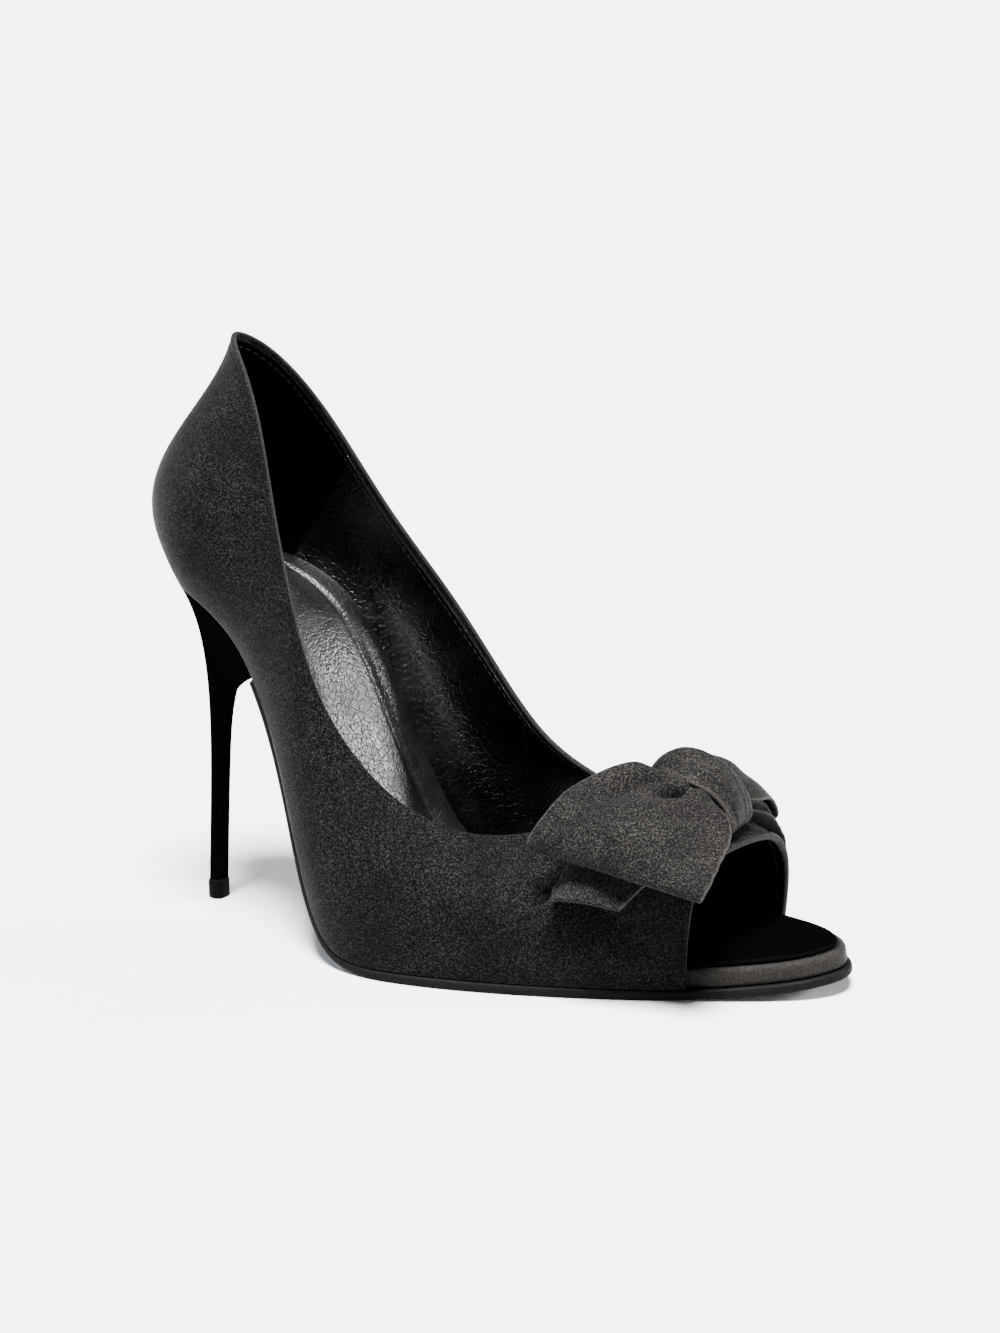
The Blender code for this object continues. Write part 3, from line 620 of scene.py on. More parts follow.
def glossy_leather(name, base, grain, rough, shine):
    """grain: the size of the leather's pebbles."""
    made = Finish(name, {"Specular IOR Level": shine})
    pebbles = made.cells(grain, "SMOOTH_F1")
    creases = made.cells(grain * 3.1, "DISTANCE_TO_EDGE")
    broad = made.noise(SHINE_PATCH, 3.0, 0.55)
    fine = made.noise(grain * 0.7, 3.0, 0.6)
    seam = made.line(made.mark("seam"), LINING_SEAM_WIDTH)
    made.use("Base Color", made.colour(made.step(fine, 0.4, 0.8), grey(base, 0.05), grey(base * 2.2, 0.08)))
    made.use("Roughness", made.step(broad, 0.3, 0.7, rough - 0.04, rough + 0.07))
    height = 0.4 * made.step(creases, 0.0, 0.12) - 1.0 * pebbles + 0.4 * fine - 3.0 * seam
    made.use("Normal", made.bump(height, grain * 0.16, 0.9))
    return made.material


lining_leather = glossy_leather("lining_leather", 0.0001, 0.00070, 0.25, 0.24)
sock_leather = glossy_leather("grained_sock_leather", 0.0010, 0.00080, 0.36, 0.34)

# %% Outsole leather, heel cover, suede, rubber and thread
PLAIN_EDGE_HIGHLIGHT = 0.0011


def plain_finish(name, base, speck, rough, spread, size, depth, shine):
    """size, depth: of its grain. spread: how far the roughness goes to both sides of rough."""
    made = Finish(name, {"Specular IOR Level": shine})
    fine = made.noise(size, 4.0, 0.6)
    broad = made.noise(size * 22, 3.0, 0.5)
    # Painted highlight: a lighter line in the colour along the piece's edges, where the edge would catch
    # the light. The rest of the specks is the grain's own random tone.
    painted_edge_highlight = made.line(made.mark("edge"), PLAIN_EDGE_HIGHLIGHT)
    specks = made.step(fine, 0.35, 0.75) * 0.7 + 0.5 * painted_edge_highlight
    made.use("Base Color", made.colour(specks, grey(base, 0.04), grey(speck, 0.06)))
    made.use("Roughness", made.step(broad, 0.3, 0.7, rough - spread, rough + spread))
    made.use("Normal", made.bump(fine, depth, 0.8))
    return made.material


outsole_leather = plain_finish("outsole_leather", 0.0008, 0.0040, 0.55, 0.10, 0.0006, 0.00005, 0.02)
heel_cover = plain_finish("gloss_heel_cover", 0.0004, 0.0010, 0.42, 0.05, 0.0005, 0.00002, 0.0)
suede = plain_finish("black_suede", 0.0002, 0.0012, 0.85, 0.05, 0.0005, 0.00008, 0.0)
tip_rubber = plain_finish("tip_rubber", 0.0006, 0.0016, 0.60, 0.06, 0.0004, 0.00004, 0.02)
thread_finish = plain_finish("black_thread", 0.002, 0.008, 0.60, 0.08, 0.0003, 0.00004, 0.1)
print("finishes:", [material.name for material in bpy.data.materials])

# %% [markdown]
# ## Fine meshes from grids
#
# Every piece here is a ring or a sheet of sections, so one helper turns a grid of points into a mesh with
# a UV map in metres. It closes the grid round both ways where asked, and turns its faces outwards by the
# sign of the volume.

# %% A mesh from a grid of sections
FAR_FROM_EDGE = 0.01


def placed(name, data):
    """A new object in the scene."""
    made = bpy.data.objects.new(name, data)
    bpy.context.scene.collection.objects.link(made)
    return made


def volume_sign(points, faces):
    """1 if the faces look outwards, else -1."""
    corners = [(face[0], face[k], face[k + 1]) for face in faces for k in range(1, len(face) - 1)]
    a, b, c = points[np.array(corners).T]
    return 1.0 if np.sum(a * np.cross(b, c)) > 0 else -1.0


def piece_from(name, points, faces, finishes, kinds, uvs, marks, node):
    """One finished piece. kinds: each face's finish. uvs: one pair for each face's corner.

    marks: distances from an edge, the lining's seams and the side seam, for the finishes.
    """
    points = np.array(points, float)
    if volume_sign(points, faces) < 0:
        faces = [tuple(reversed(face)) for face in faces]
        uvs = [list(reversed(pairs)) for pairs in uvs]
    mesh = bpy.data.meshes.new(name)
    mesh.from_pydata([tuple(p + SHIFT) for p in points], [], faces)
    for finish in finishes:
        mesh.materials.append(finish)
    mesh.polygons.foreach_set("material_index", kinds)
    layer = mesh.uv_layers.new(name="cloth")
    layer.data.foreach_set("uv", [v for pairs in uvs for pair in pairs for v in pair])
    for mark in ("edge", "seam", "side"):
        values = marks.get(mark, np.full(len(points), FAR_FROM_EDGE))
        attribute = mesh.attributes.new(mark, "FLOAT", "POINT")
        attribute.data.foreach_set("value", np.ravel(values))
    mesh.shade_smooth()
    made = placed(name, mesh)
    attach(made, "root")
    if node:
        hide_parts(node)
    print(name, len(faces), "faces")
    return made


def grid(points, u, v, wrap_rows=False, wrap_columns=False):
    """Points, faces and corner UVs of a grid of sections. u runs over the rows and v over the columns."""
    points = np.array(points, float)
    rows, columns = points.shape[:2]
    u, v = np.array(u, float), np.array(v, float)
    faces, uvs, where = [], [], []
    for i in range(rows if wrap_rows else rows - 1):
        a = (i + 1) % rows
        for j in range(columns if wrap_columns else columns - 1):
            b = (j + 1) % columns
            faces.append((i * columns + j, a * columns + j, a * columns + b, i * columns + b))
            uvs.append([(u[i], v[i, j]), (u[i + 1], v[i, j]), (u[i + 1], v[i, j + 1]), (u[i], v[i, j + 1])])
            where.append((i, j))
    return points.reshape(-1, 3), faces, uvs, where


def closed_run(points):
    """How far round a closed line each of its points lies, with the whole way round as the last."""
    steps = np.linalg.norm(np.roll(points, -1, axis=0) - points, axis=1)
    return np.concatenate([[0.0], np.cumsum(steps)])


def close_ends(faces, uvs, rows, columns):
    """Adds one face to each end of a grid of closed rings."""
    for row in (0, rows - 1):
        loop = [row * columns + j for j in range(columns)]
        faces.append(tuple(reversed(loop)) if row else tuple(loop))
        uvs.append([(0.0, 0.0)] * columns)


# %% [markdown]
# ## The upper
#
# Satin is pulled over the last, folded over the topline and turned in by about two millimetres, and the
# leather lining is stitched behind that fold. At the toe the cut edge is folded back on itself, which gives
# it a raised rim. Each rib of the upper is one closed section: up the outside, over the rounded edge, past
# the lining's own edge and down the inside. The step and the rim are real relief in the mesh, because they
# catch the light from every side.

# %% Sections of the upper
RIBS_FINE = 16
HALF_UP = 30
WALL_ROWS = 44
LINING_ROWS = 34
FOLD_RADIUS = 0.0007
TURN_IN = 0.0022
LINING_EDGE = 0.00035
RIM_WIDTH = 0.0017
RIM_HEIGHT = 0.0006
GRIP_FROM = 10.625
GRIP_TO = 13.375
SIDE_SEAMS = (7.0, 16.55)
# Heights over the foot, and depths under the collar, at which a section has rows.
FOOT_ROWS = (0.0008, 0.0010, 0.0013, 0.0016, 0.0019, 0.0022, 0.0026, 0.0031)
COLLAR_ROWS = (0.0026, 0.0022, 0.0018, 0.0014, 0.0010)
LINING_ROLL = ((0.00002, 0.5), (0.0001, 0.85), (0.0003, 1.0), (0.0007, 1.0), (0.0012, 0.9))
CREASE_DEPTH = 0.00012
GROOVE_BESIDE_RIM = 0.00022


def rib_curve(where, foot, collar, shares):
    """Points up one rib at the given shares of the way from foot to collar."""
    head = collar(where)
    ahead, behind = collar(where + 0.05), collar(where - 0.05)
    start, end = np.array(foot(where)), head[:3]
    chord = end - start
    out = np.cross(chord, ahead[:3] - behind[:3])
    out /= np.linalg.norm(out)
    if out.dot((start[0] - 0.5 * SHOE_LENGTH, start[1], 0.02)) < 0:
        out = -out
    first = start + chord / 3 + out * head[3]
    second = start + chord * 2 / 3 + out * head[4]
    t = np.array(shares)[:, None]
    s = 1 - t
    return s**3 * start + 3 * s * s * t * first + 3 * s * t * t * second + t**3 * end


foot, first_rib, last_rib = rib_feet()
collar = collar_spline()
rib_places = [k / RIBS_FINE for k in range(len(RIBS) * RIBS_FINE)]
rib_shares = np.linspace(0.0, 1.0, 2 * HALF_UP + 1)
ribs = np.array([rib_curve(where, foot, collar, rib_shares) for where in rib_places])
steps = np.linalg.norm(np.diff(ribs, axis=1), axis=2)
lengths = np.concatenate([np.zeros((len(ribs), 1)), np.cumsum(steps, axis=1)], axis=1)
up = np.gradient(ribs, axis=1)
sideways = np.roll(ribs, -1, axis=0) - np.roll(ribs, 1, axis=0)
inward = np.cross(sideways, up)
inward /= np.linalg.norm(inward, axis=2)[:, :, None]
centre_line = np.array([0.45 * SHOE_LENGTH, 0.0, 0.03])
if np.sum(inward[:, 20] * (centre_line - ribs[:, 20])) < 0:
    inward = -inward
topline = ribs[:, -1] - np.roll(ribs[:, -1], 1, axis=0)
print("topline, mm:", round(1000 * np.linalg.norm(topline, axis=1).sum()))


def open_toe(where):
    """1 on the ribs of the toe opening and 0 on the others, with a short change between."""
    count = len(RIBS)
    past = where - last_rib if where > count / 2 else first_rib - where
    return faded(past, 0.0, 0.22)


def wall_point(i, height, depth):
    """The point at a height up rib i, in metres, and a depth inwards from the outer face."""
    span = lengths[i]
    share = np.interp(height, span, np.arange(len(span)))
    low = int(min(share, len(span) - 2))
    part = share - low
    spot = ribs[i, low] * (1 - part) + ribs[i, low + 1] * part
    normal = inward[i, low] * (1 - part) + inward[i, low + 1] * part
    return spot + normal * depth


def rim_relief(height, share):
    """The toe opening's raised rim and the small groove beside it."""
    rim = RIM_HEIGHT * faded(height, RIM_WIDTH * 1.12, RIM_WIDTH * 0.72)
    groove = GROOVE_BESIDE_RIM * bell((height - RIM_WIDTH * 1.25) / 0.00035)
    return share * (rim - groove)


def section(i, where):
    """(height, depth, kind) round one rib: 0 is satin and 1 is lining."""
    total = lengths[i, -1]
    share = open_toe(where)
    wall, r = UPPER_WALL, FOLD_RADIUS
    rows = []
    half = wall / 2
    for k in range(7):
        angle = math.pi / 2 * k / 6
        low = share * r * (1 - math.cos(angle))
        rows.append((low, half - (half + rim_relief(0.0, share)) * math.sin(angle), 0))
    rest = np.linspace(FOOT_ROWS[-1], total - 0.0032, WALL_ROWS)[1:]
    for height in [*FOOT_ROWS, *rest, *(total - d for d in COLLAR_ROWS)]:
        below = total - height
        crease = CREASE_DEPTH * bell((below - 0.0021) / 0.0004)
        rows.append((height, -rim_relief(height, share) + crease, 0))
    for k in range(9):
        angle = math.pi * k / 8
        rows.append((total - r * (1 - math.sin(angle)), half - half * math.cos(angle), 0))
    for drop in (0.0011, 0.0016, TURN_IN):
        rows.append((total - drop, wall, 0))
    edge = LINING_EDGE
    for drop, depth in LINING_ROLL:
        rows.append((total - TURN_IN - drop, wall + edge * depth, 1))
    for height in np.linspace(total - TURN_IN - 0.0020, 0.0034, LINING_ROWS):
        rows.append((height, wall + edge * 0.85 * faded(height, 0.0, 0.007), 1))
    for height in (0.0027, 0.0020, 0.0014):
        rows.append((height, wall + 0.0002 * share, 1))
    rows.append((share * r * 0.4, wall * (1 - 0.06 * share), 0 if share > 0.5 else 1))
    return rows


# %% Build the upper
points, v_rows, edge_mark, seam_mark, side_mark = [], [], [], [], []
collar_run = closed_run(ribs[:, HALF_UP])
for i, where in enumerate(rib_places):
    rows = section(i, where)
    row_kinds = [kind for _, _, kind in rows]
    spots = np.array([wall_point(i, height, depth) for height, depth, _ in rows])
    points.append(spots)
    v_rows.append(closed_run(spots))
    total = lengths[i, -1]
    edge_mark.append([min(total - h, h + (1 - open_toe(where)) * 0.5) for h, _, _ in rows])
    spacing = np.linalg.norm(ribs[(i + RIBS_FINE) % len(ribs), HALF_UP] - ribs[i, HALF_UP])
    away = min(abs(where - s) for s in SIDE_SEAMS + (GRIP_FROM, GRIP_TO)) * spacing
    seam_mark.append([min(away, FAR_FROM_EDGE)] * len(rows))
    side_mark.append([min(abs(where - SIDE_SEAMS[1]) * spacing, FAR_FROM_EDGE)] * len(rows))
v_rows.append(v_rows[0])
shell, faces, uvs, cells_at = grid(points, collar_run, v_rows, wrap_rows=True, wrap_columns=True)
kinds = []
for i, j in cells_at:
    in_grip = GRIP_FROM <= rib_places[i] < GRIP_TO
    kinds.append(2 if row_kinds[j] and in_grip else row_kinds[j])
piece_from(
    "upper_shell", shell, faces, [upper_satin, lining_leather, suede], kinds, uvs,
    {"edge": edge_mark, "seam": seam_mark, "side": side_mark}, "upper")

# %% [markdown]
# ## Stitches
#
# The lining is sewn behind the turned-in satin with black thread. One Geometry Nodes tree lays a row of
# stitches on any path: it divides the path by the stitch pitch, puts one long bead on each point, turned
# along the path, and gives them the thread's finish. The result is made a plain mesh, so that the export
# keeps it.

# %% A tree for stitch rows
def stitch_tree():
    """Beads along a path. The inputs hold the pitch, the bead's two sizes and its finish."""
    tree = bpy.data.node_groups.new("stitch_row", "GeometryNodeTree")
    face = tree.interface
    face.new_socket("Path", in_out="INPUT", socket_type="NodeSocketGeometry")
    for name, value in (("Pitch", 0.0026), ("Stitch length", 0.0019), ("Thread width", 0.00036)):
        face.new_socket(name, in_out="INPUT", socket_type="NodeSocketFloat").default_value = value
    face.new_socket("Thread", in_out="INPUT", socket_type="NodeSocketMaterial")
    face.new_socket("Stitches", in_out="OUTPUT", socket_type="NodeSocketGeometry")

    def add(kind, **settings):
        made = tree.nodes.new(kind)
        for name, value in settings.items():
            setattr(made, name, value)
        return made

    given, result = add("NodeGroupInput"), add("NodeGroupOutput")
    divide = add("GeometryNodeResampleCurve", mode="LENGTH")
    bead = add("GeometryNodeMeshUVSphere")
    for name, value in (("Segments", 8), ("Rings", 6), ("Radius", 0.5)):
        bead.inputs[name].default_value = value
    size = add("ShaderNodeCombineXYZ")
    along = add("GeometryNodeInputTangent")
    turn = add("FunctionNodeAlignRotationToVector", axis="X")
    copies = add("GeometryNodeInstanceOnPoints")
    real = add("GeometryNodeRealizeInstances")
    paint = add("GeometryNodeSetMaterial")
    for source, out, target, into in (
            (given, "Path", divide, "Curve"), (given, "Pitch", divide, "Length"),
            (divide, "Curve", copies, "Points"), (bead, "Mesh", copies, "Instance"),
            (along, "Tangent", turn, "Vector"), (turn, "Rotation", copies, "Rotation"),
            (given, "Stitch length", size, "X"), (given, "Thread width", size, "Y"),
            (given, "Thread width", size, "Z"), (size, "Vector", copies, "Scale"),
            (copies, "Instances", real, "Geometry"), (real, "Geometry", paint, "Geometry"),
            (given, "Thread", paint, "Material"), (paint, "Geometry", result, "Stitches")):
        tree.links.new(source.outputs[out], target.inputs[into])
    return tree


stitches = stitch_tree()


def stitch_row(name, path, closed, sizes):
    """A row of stitches along a path of points, as a plain mesh."""
    curve = bpy.data.curves.new(name + "_path", "CURVE")
    curve.dimensions = "3D"
    spline = curve.splines.new("POLY")
    spline.points.add(len(path) - 1)
    for point, place in zip(spline.points, path):
        point.co = (*(np.array(place) + SHIFT), 1.0)
    spline.use_cyclic_u = closed
    guide = placed(name + "_path", curve)
    modifier = guide.modifiers.new("stitches", "NODES")
    modifier.node_group = stitches
    for item in stitches.interface.items_tree:
        if item.name in sizes:
            modifier[item.identifier] = sizes[item.name]
        if item.name == "Thread":
            modifier[item.identifier] = thread_finish
    bpy.context.view_layer.update()
    shown = guide.evaluated_get(bpy.context.evaluated_depsgraph_get())
    mesh = bpy.data.meshes.new_from_object(shown)
    guide.modifiers.remove(modifier)
    bpy.data.objects.remove(guide)
    mesh.name = name
    edge = mesh.attributes.new("edge", "FLOAT", "POINT")
    edge.data.foreach_set("value", [FAR_FROM_EDGE] * len(mesh.vertices))
    made = placed(name, mesh)
    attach(made, "root")
    print(name, len(mesh.polygons), "faces")
    return made


# %% Stitches of the lining
STITCH_DROP = 0.0040
TOE_STITCH_HEIGHT = 0.0042
TOE_STITCH_DEPTH = 0.00024
sunk = UPPER_WALL + LINING_EDGE * 0.88
top_path = [wall_point(i, lengths[i, -1] - STITCH_DROP, sunk) for i in range(len(rib_places))]
stitch_row("topline_stitches", top_path, True, {})
toe_ribs = [i for i, where in enumerate(rib_places) if open_toe(where) > 0.9]
toe_ribs = [i for i in toe_ribs if rib_places[i] > 10] + [i for i in toe_ribs if rib_places[i] < 10]
toe_path = [wall_point(i, TOE_STITCH_HEIGHT, UPPER_WALL + TOE_STITCH_DEPTH) for i in toe_ribs]
toe_sizes = {"Pitch": 0.0024, "Stitch length": 0.0017}
stitch_row("toe_opening_stitches", toe_path, False, toe_sizes)

# %% [markdown]
# ## Outsole, board and sock
#
# The three layers under the foot follow the same bottom of the last. Each is a top and a bottom sheet that
# share one rim, made from rings across the foot. The sock is leather over foam: a pad stands up in its
# middle, inside a pressed groove, so its top sheet is raised by a function of how far each point lies from
# the sock's own edge. Foam padding this thin is moved point by point here. A simulation would only blur
# the groove.

# %% Layers that follow the last
LAYER_RINGS = 230
LAYER_ACROSS = 56
NEAR_BACK = 0.002
NEAR_TOE = 0.9985


def edge_profile(base, rows):
    """(inset, lift) up a layer's edge. base: the inset at a place, to which each row's own is added."""
    return [(lambda place, more=more: base(place) + more, lift) for more, lift in rows]


def fine_layer(start, profile, relief):
    """Points, faces, UVs and each point's distance from the layer's rim."""
    half = len(OUTLINE) / 2
    across_count = LAYER_ACROSS
    even = [k / LAYER_RINGS for k in range(LAYER_RINGS + 1)]
    shares = [max(start, NEAR_BACK)] + [share for share in even if share > start + 0.001]
    shares[-1] = NEAR_TOE
    points, edge = [], []
    for share in shares:
        turn = along_turn(share)
        a_place, b_place = OUTLINE_BACK_ROW - half * turn, OUTLINE_BACK_ROW + half * turn
        ring, gaps = [], []
        width = float(np.linalg.norm(outline(a_place) - outline(b_place)))
        for inset, lift in profile:
            x, y = outline(a_place, inset(a_place))
            ring.append(on_sole(x, y, lift))
            gaps.append(0.0)
        top_lift = profile[-1][1]
        a = outline(a_place, profile[-1][0](a_place))
        b = outline(b_place, profile[-1][0](b_place))
        for j in range(1, across_count):
            across = (1 - math.cos(math.pi * j / across_count)) / 2 * 0.35 + 0.65 * j / across_count
            x, y = a + (b - a) * across
            gap = min(across, 1 - across) * width
            ring.append(on_sole(x, y, top_lift + relief(x, y, across * width, (1 - across) * width)))
            gaps.append(gap)
        for inset, lift in reversed(profile):
            x, y = outline(b_place, inset(b_place))
            ring.append(on_sole(x, y, lift))
            gaps.append(0.0)
        a = outline(a_place, profile[0][0](a_place))
        b = outline(b_place, profile[0][0](b_place))
        for j in range(across_count - 1, 0, -1):
            across = j / across_count
            x, y = a + (b - a) * across
            ring.append(on_sole(x, y, profile[0][1]))
            gaps.append(min(across, 1 - across) * width)
        points.append([np.array(p) for p in ring])
        edge.append(gaps)
    points = np.array(points)
    rows, columns = points.shape[:2]
    u = points[:, 0, 0]
    v = np.concatenate([points[:, :, 1], points[:, :1, 1]], axis=1)
    flat, faces, uvs, _ = grid(points, np.append(u, u[-1]), np.vstack([v, v[-1:]]), wrap_columns=True)
    close_ends(faces, uvs, rows, columns)
    return flat, faces, uvs, edge


def no_relief(x, y, from_outer, from_inner):
    """A flat top."""
    return 0.0


def layer_piece(name, start, profile, relief, finishes, node, toe_from=2.0):
    """toe_from: the share of the length from which the second finish is used."""
    flat, faces, uvs, edge = fine_layer(start, profile, relief)
    columns = 2 * len(profile) + 2 * (LAYER_ACROSS - 1)
    row_x = flat.reshape(-1, columns, 3)[:, :, 0].mean(axis=1)
    kinds = [int(row_x[min(face) // columns] > toe_from * SHOE_LENGTH) for face in faces]
    return piece_from(name, flat, faces, finishes, kinds, uvs, {"edge": edge}, node)


# %% Outsole
def outsole_edge(place):
    x = outline(place)[0]
    return -OUTSOLE_WELT + WAIST_TUCK * (1 - faded(x, 0.30 * SHOE_LENGTH, 0.46 * SHOE_LENGTH))


outsole_profile = edge_profile(outsole_edge, (
    (0.0012, -OUTSOLE_THICKNESS),
    (0.0005, -OUTSOLE_THICKNESS + 0.00012),
    (0.00015, -OUTSOLE_THICKNESS + 0.0004),
    (0.0, -OUTSOLE_THICKNESS + 0.0009),
    (0.0, -0.0009),
    (0.00012, -0.0005),
    (0.0004, -0.00015),
    (0.0009, 0.0),
))
layer_piece(
    "leather_outsole", breast_share(), outsole_profile, no_relief, [outsole_leather], "outsole")

# %% Insole board, wrapped in satin at the toe
BOARD_HIDDEN = UPPER_WALL + 2 * FIT_GAP
BOARD_SHOWN = 0.0004


def inset_inside(shown):
    """A layer's inset inside the upper's wall, which changes to shown where the toe is open."""
    return lambda place: BOARD_HIDDEN + (shown - BOARD_HIDDEN) * past_corner(place)


board_top = FIT_GAP + BOARD_THICKNESS
board_profile = edge_profile(inset_inside(BOARD_SHOWN), (
    (0.0008, FIT_GAP),
    (0.00025, FIT_GAP + 0.0003),
    (0.0, FIT_GAP + 0.0010),
    (0.0001, board_top - 0.0022),
    (0.00005, board_top - 0.0013),
    (0.0003, board_top - 0.0006),
    (0.0008, board_top - 0.00015),
    (0.0014, board_top),
))
layer_piece(
    "wrapped_board", 0.0, board_profile, no_relief, [upper_satin], "insole_board")

# %% Padded leather sock
SOCK_SHOWN = 0.0026
PAD_BORDER_INNER = 0.0085
PAD_BORDER_OUTER = 0.0065
PAD_BORDER_BACK = 0.007
PAD_SLOPE = 0.010
EDGE_ROLL = 0.0004
EDGE_ROLL_WIDTH = 0.003
PAD_END = 0.66
GROOVE_WIDTH = 0.0022
GROOVE_DEPTH = 0.0007
TOE_PART = 0.64
sock_base = BOARD_THICKNESS + 2 * FIT_GAP


def pad_relief(x, y, from_outer, from_inner):
    """Raised padding with a pressed groove round it, which flattens out under the ball of the foot."""
    back = outline(OUTLINE_BACK_ROW)[0]
    ahead = (PAD_END * SHOE_LENGTH - x) * 0.8
    behind = (x - back - PAD_BORDER_BACK) * 0.9
    inside = min(from_outer - PAD_BORDER_OUTER, from_inner - PAD_BORDER_INNER, behind, ahead)
    groove = bell(inside / (GROOVE_WIDTH / 2))
    pad = faded(inside, 0.0, PAD_SLOPE)
    fade = 1 - faded(x, 0.50 * SHOE_LENGTH, 0.68 * SHOE_LENGTH)
    roll = EDGE_ROLL * faded(min(from_outer, from_inner), 0.0, EDGE_ROLL_WIDTH)
    return SOCK_CROWN * pad * fade - GROOVE_DEPTH * groove * (0.25 + 0.75 * fade) + roll


sock_profile = edge_profile(inset_inside(SOCK_SHOWN), (
    (0.0002, sock_base),
    (0.0, sock_base + 0.0003),
    (0.0, sock_base + SOCK_THICKNESS - 0.0006),
    (0.00012, sock_base + SOCK_THICKNESS - 0.00025),
    (0.0004, sock_base + SOCK_THICKNESS),
))
sock = layer_piece(
    "padded_sock", 0.0, sock_profile, pad_relief, [sock_leather, suede], "sock_lining",
    TOE_PART)

# %% [markdown]
# ## Heel and top piece
#
# A stiletto is a thin stem that flares into a cup under the seat. It is covered in black and stands on a
# small rubber top piece. The cover's seam down the breast is only stored as a mark on the mesh; the heel's
# finish does not use it. Rings of one outline are stretched from the stem's section to the seat's, more of
# them near the top where the flare turns quickly.

# %% Heel
HEEL_FINE_AROUND = 84
HEEL_FINE_LEVELS = 64
heel_angles = [2 * math.pi * k / HEEL_FINE_AROUND for k in range(HEEL_FINE_AROUND)]


def capped_tube(rings):
    """Points, faces and UVs of closed rings, with both ends closed by one face."""
    rings = np.array(rings)
    count, around = rings.shape[:2]
    run = np.concatenate([[0.0], np.cumsum(np.linalg.norm(np.diff(rings, axis=0), axis=2).mean(axis=1))])
    girth = np.concatenate([np.zeros((count, 1)), np.cumsum(
        np.linalg.norm(np.roll(rings, -1, axis=1) - rings, axis=2), axis=1)], axis=1)
    run, girth = np.append(run, run[-1]), np.vstack([girth, girth[-1:]])
    flat, faces, uvs, _ = grid(rings, run, girth, wrap_columns=True)
    close_ends(faces, uvs, count, around)
    return flat, faces, uvs


seat_points = [seat_outline(angle) for angle in heel_angles]
seat_tops = [on_sole(x, y) for x, y in seat_points]


def heel_ring(level):
    base = TOP_PIECE_HEIGHT + FIT_GAP
    ring = []
    for angle, top in zip(heel_angles, seat_tops):
        stem_x, stem_y = stem_outline(angle, HEEL_STEM_WIDTH, HEEL_STEM_DEPTH)
        stem_x += HEEL_TIP_X + HEEL_LEAN * level
        back = (1 - math.cos(angle)) / 2
        flare = level ** (8.0 - 4.0 * back)
        x, y = stem_x + (top.x - stem_x) * flare, stem_y + (top.y - stem_y) * flare
        ring.append((x, y, base + (top.z - base) * level))
    return ring


levels = [1 - (1 - k / HEEL_FINE_LEVELS) ** 1.7 for k in range(HEEL_FINE_LEVELS + 1)]
rings = [heel_ring(level) for level in levels]
seat_edge = np.array(rings[-1])
seat_middle = seat_edge[:, :2].mean(axis=0)
for share in (0.9, 0.7, 0.5, 0.3, 0.1):
    inner = seat_middle + (seat_edge[:, :2] - seat_middle) * share
    rings.append([tuple(on_sole(x, y)) for x, y in inner])
flat, faces, uvs = capped_tube(rings)
breast_line = [min(abs(angle), 2 * math.pi - abs(angle)) * 0.004 for angle in heel_angles]
marks = {"seam": breast_line * len(rings)}
piece_from(
    "covered_heel", flat, faces, [heel_cover], [0] * len(faces), uvs, marks, "heel")

# %% Top piece
TIP_LEVELS = (
    # height, growth of its outline
    (0.0, -0.0007), (0.00015, -0.0003), (0.0004, -0.0001), (0.0008, 0.0),
    (0.0048, 0.0), (0.0054, -0.0001), (0.0057, -0.0003), (0.0060, -0.0007),
)
tip_rings = []
for z, grow in TIP_LEVELS:
    size = TOP_PIECE_FLARE + grow
    ring = []
    for angle in heel_angles:
        x, y = stem_outline(angle, HEEL_STEM_WIDTH + 2 * size, HEEL_STEM_DEPTH + 2 * size)
        ring.append((HEEL_TIP_X + x, y, z))
    tip_rings.append(ring)
flat, faces, uvs = capped_tube(tip_rings)
piece_from(
    "rubber_top_piece", flat, faces, [tip_rubber], [0] * len(faces), uvs, {}, "heel_top_piece")

# %% [markdown]
# ## The bow
#
# Each loop is one doubled satin ribbon: out of the knot, round a soft fold and back in. Its rows give the
# place and height of its front and back edge over the vamp, found with rays on the upper's own solid. The
# cloth is then pushed in and out by soft troughs that start at the knot, where the ribbon is gathered, and
# spread as they run out. The shapes are set point by point, because the loops have to keep the folds that
# the photo shows.

# %% Ribbons over the vamp
RIBBON_FINE_STEPS = 14
RIBBON_FINE_ACROSS = 44
upper_solid = frame["nodes"]["upper"]


class Vamp:
    """Heights over the upper's outer surface, found with rays and drawn on past its edges."""

    def __init__(self, node):
        work = bmesh.new()
        work.from_mesh(node.data)
        bmesh.ops.translate(work, verts=work.verts, vec=-Vector(SHIFT))
        self.tree = BVHTree.FromBMesh(work)
        work.free()

    def cast(self, x, direction):
        origin = Vector((x, 0.0, VAMP_AXIS))
        reach = origin + direction * 0.2
        found, _, _, distance = self.tree.ray_cast(reach, -direction, 0.2)
        return 0.2 - distance if found else 0.04

    def point(self, turn, along, lift):
        x = along * SHOE_LENGTH
        low, high = VAMP_FROM * SHOE_LENGTH, VAMP_TO * SHOE_LENGTH
        direction = Vector((0.0, math.sin(math.radians(turn)), math.cos(math.radians(turn))))
        held = min(high, max(low, x))
        radius = self.cast(held, direction)
        if held != x:
            step = 0.006 if held == low else -0.006
            slope = (self.cast(held + step, direction) - radius) / step
            radius += slope * (x - held)
        return Vector((x, 0.0, VAMP_AXIS)) + direction * (radius + lift)


vamp = Vamp(upper_solid)


def smooth_grid(points, rounds):
    """Evens out the small facets that the rays pick up from the solid, and keeps the borders."""
    for _ in range(rounds):
        middle = (points[2:, 1:-1] + points[:-2, 1:-1] + points[1:-1, 2:] + points[1:-1, :-2]) / 4
        points[1:-1, 1:-1] = 0.5 * points[1:-1, 1:-1] + 0.5 * middle
    return points


def grid_normals(points):
    """The grid's normals, which point up where the ribbon leaves the knot."""
    normal = np.cross(np.gradient(points, axis=0), np.gradient(points, axis=1))
    normal = normal / np.linalg.norm(normal, axis=2)[:, :, None]
    return -normal if normal[2, RIBBON_FINE_ACROSS // 2][2] < 0 else normal


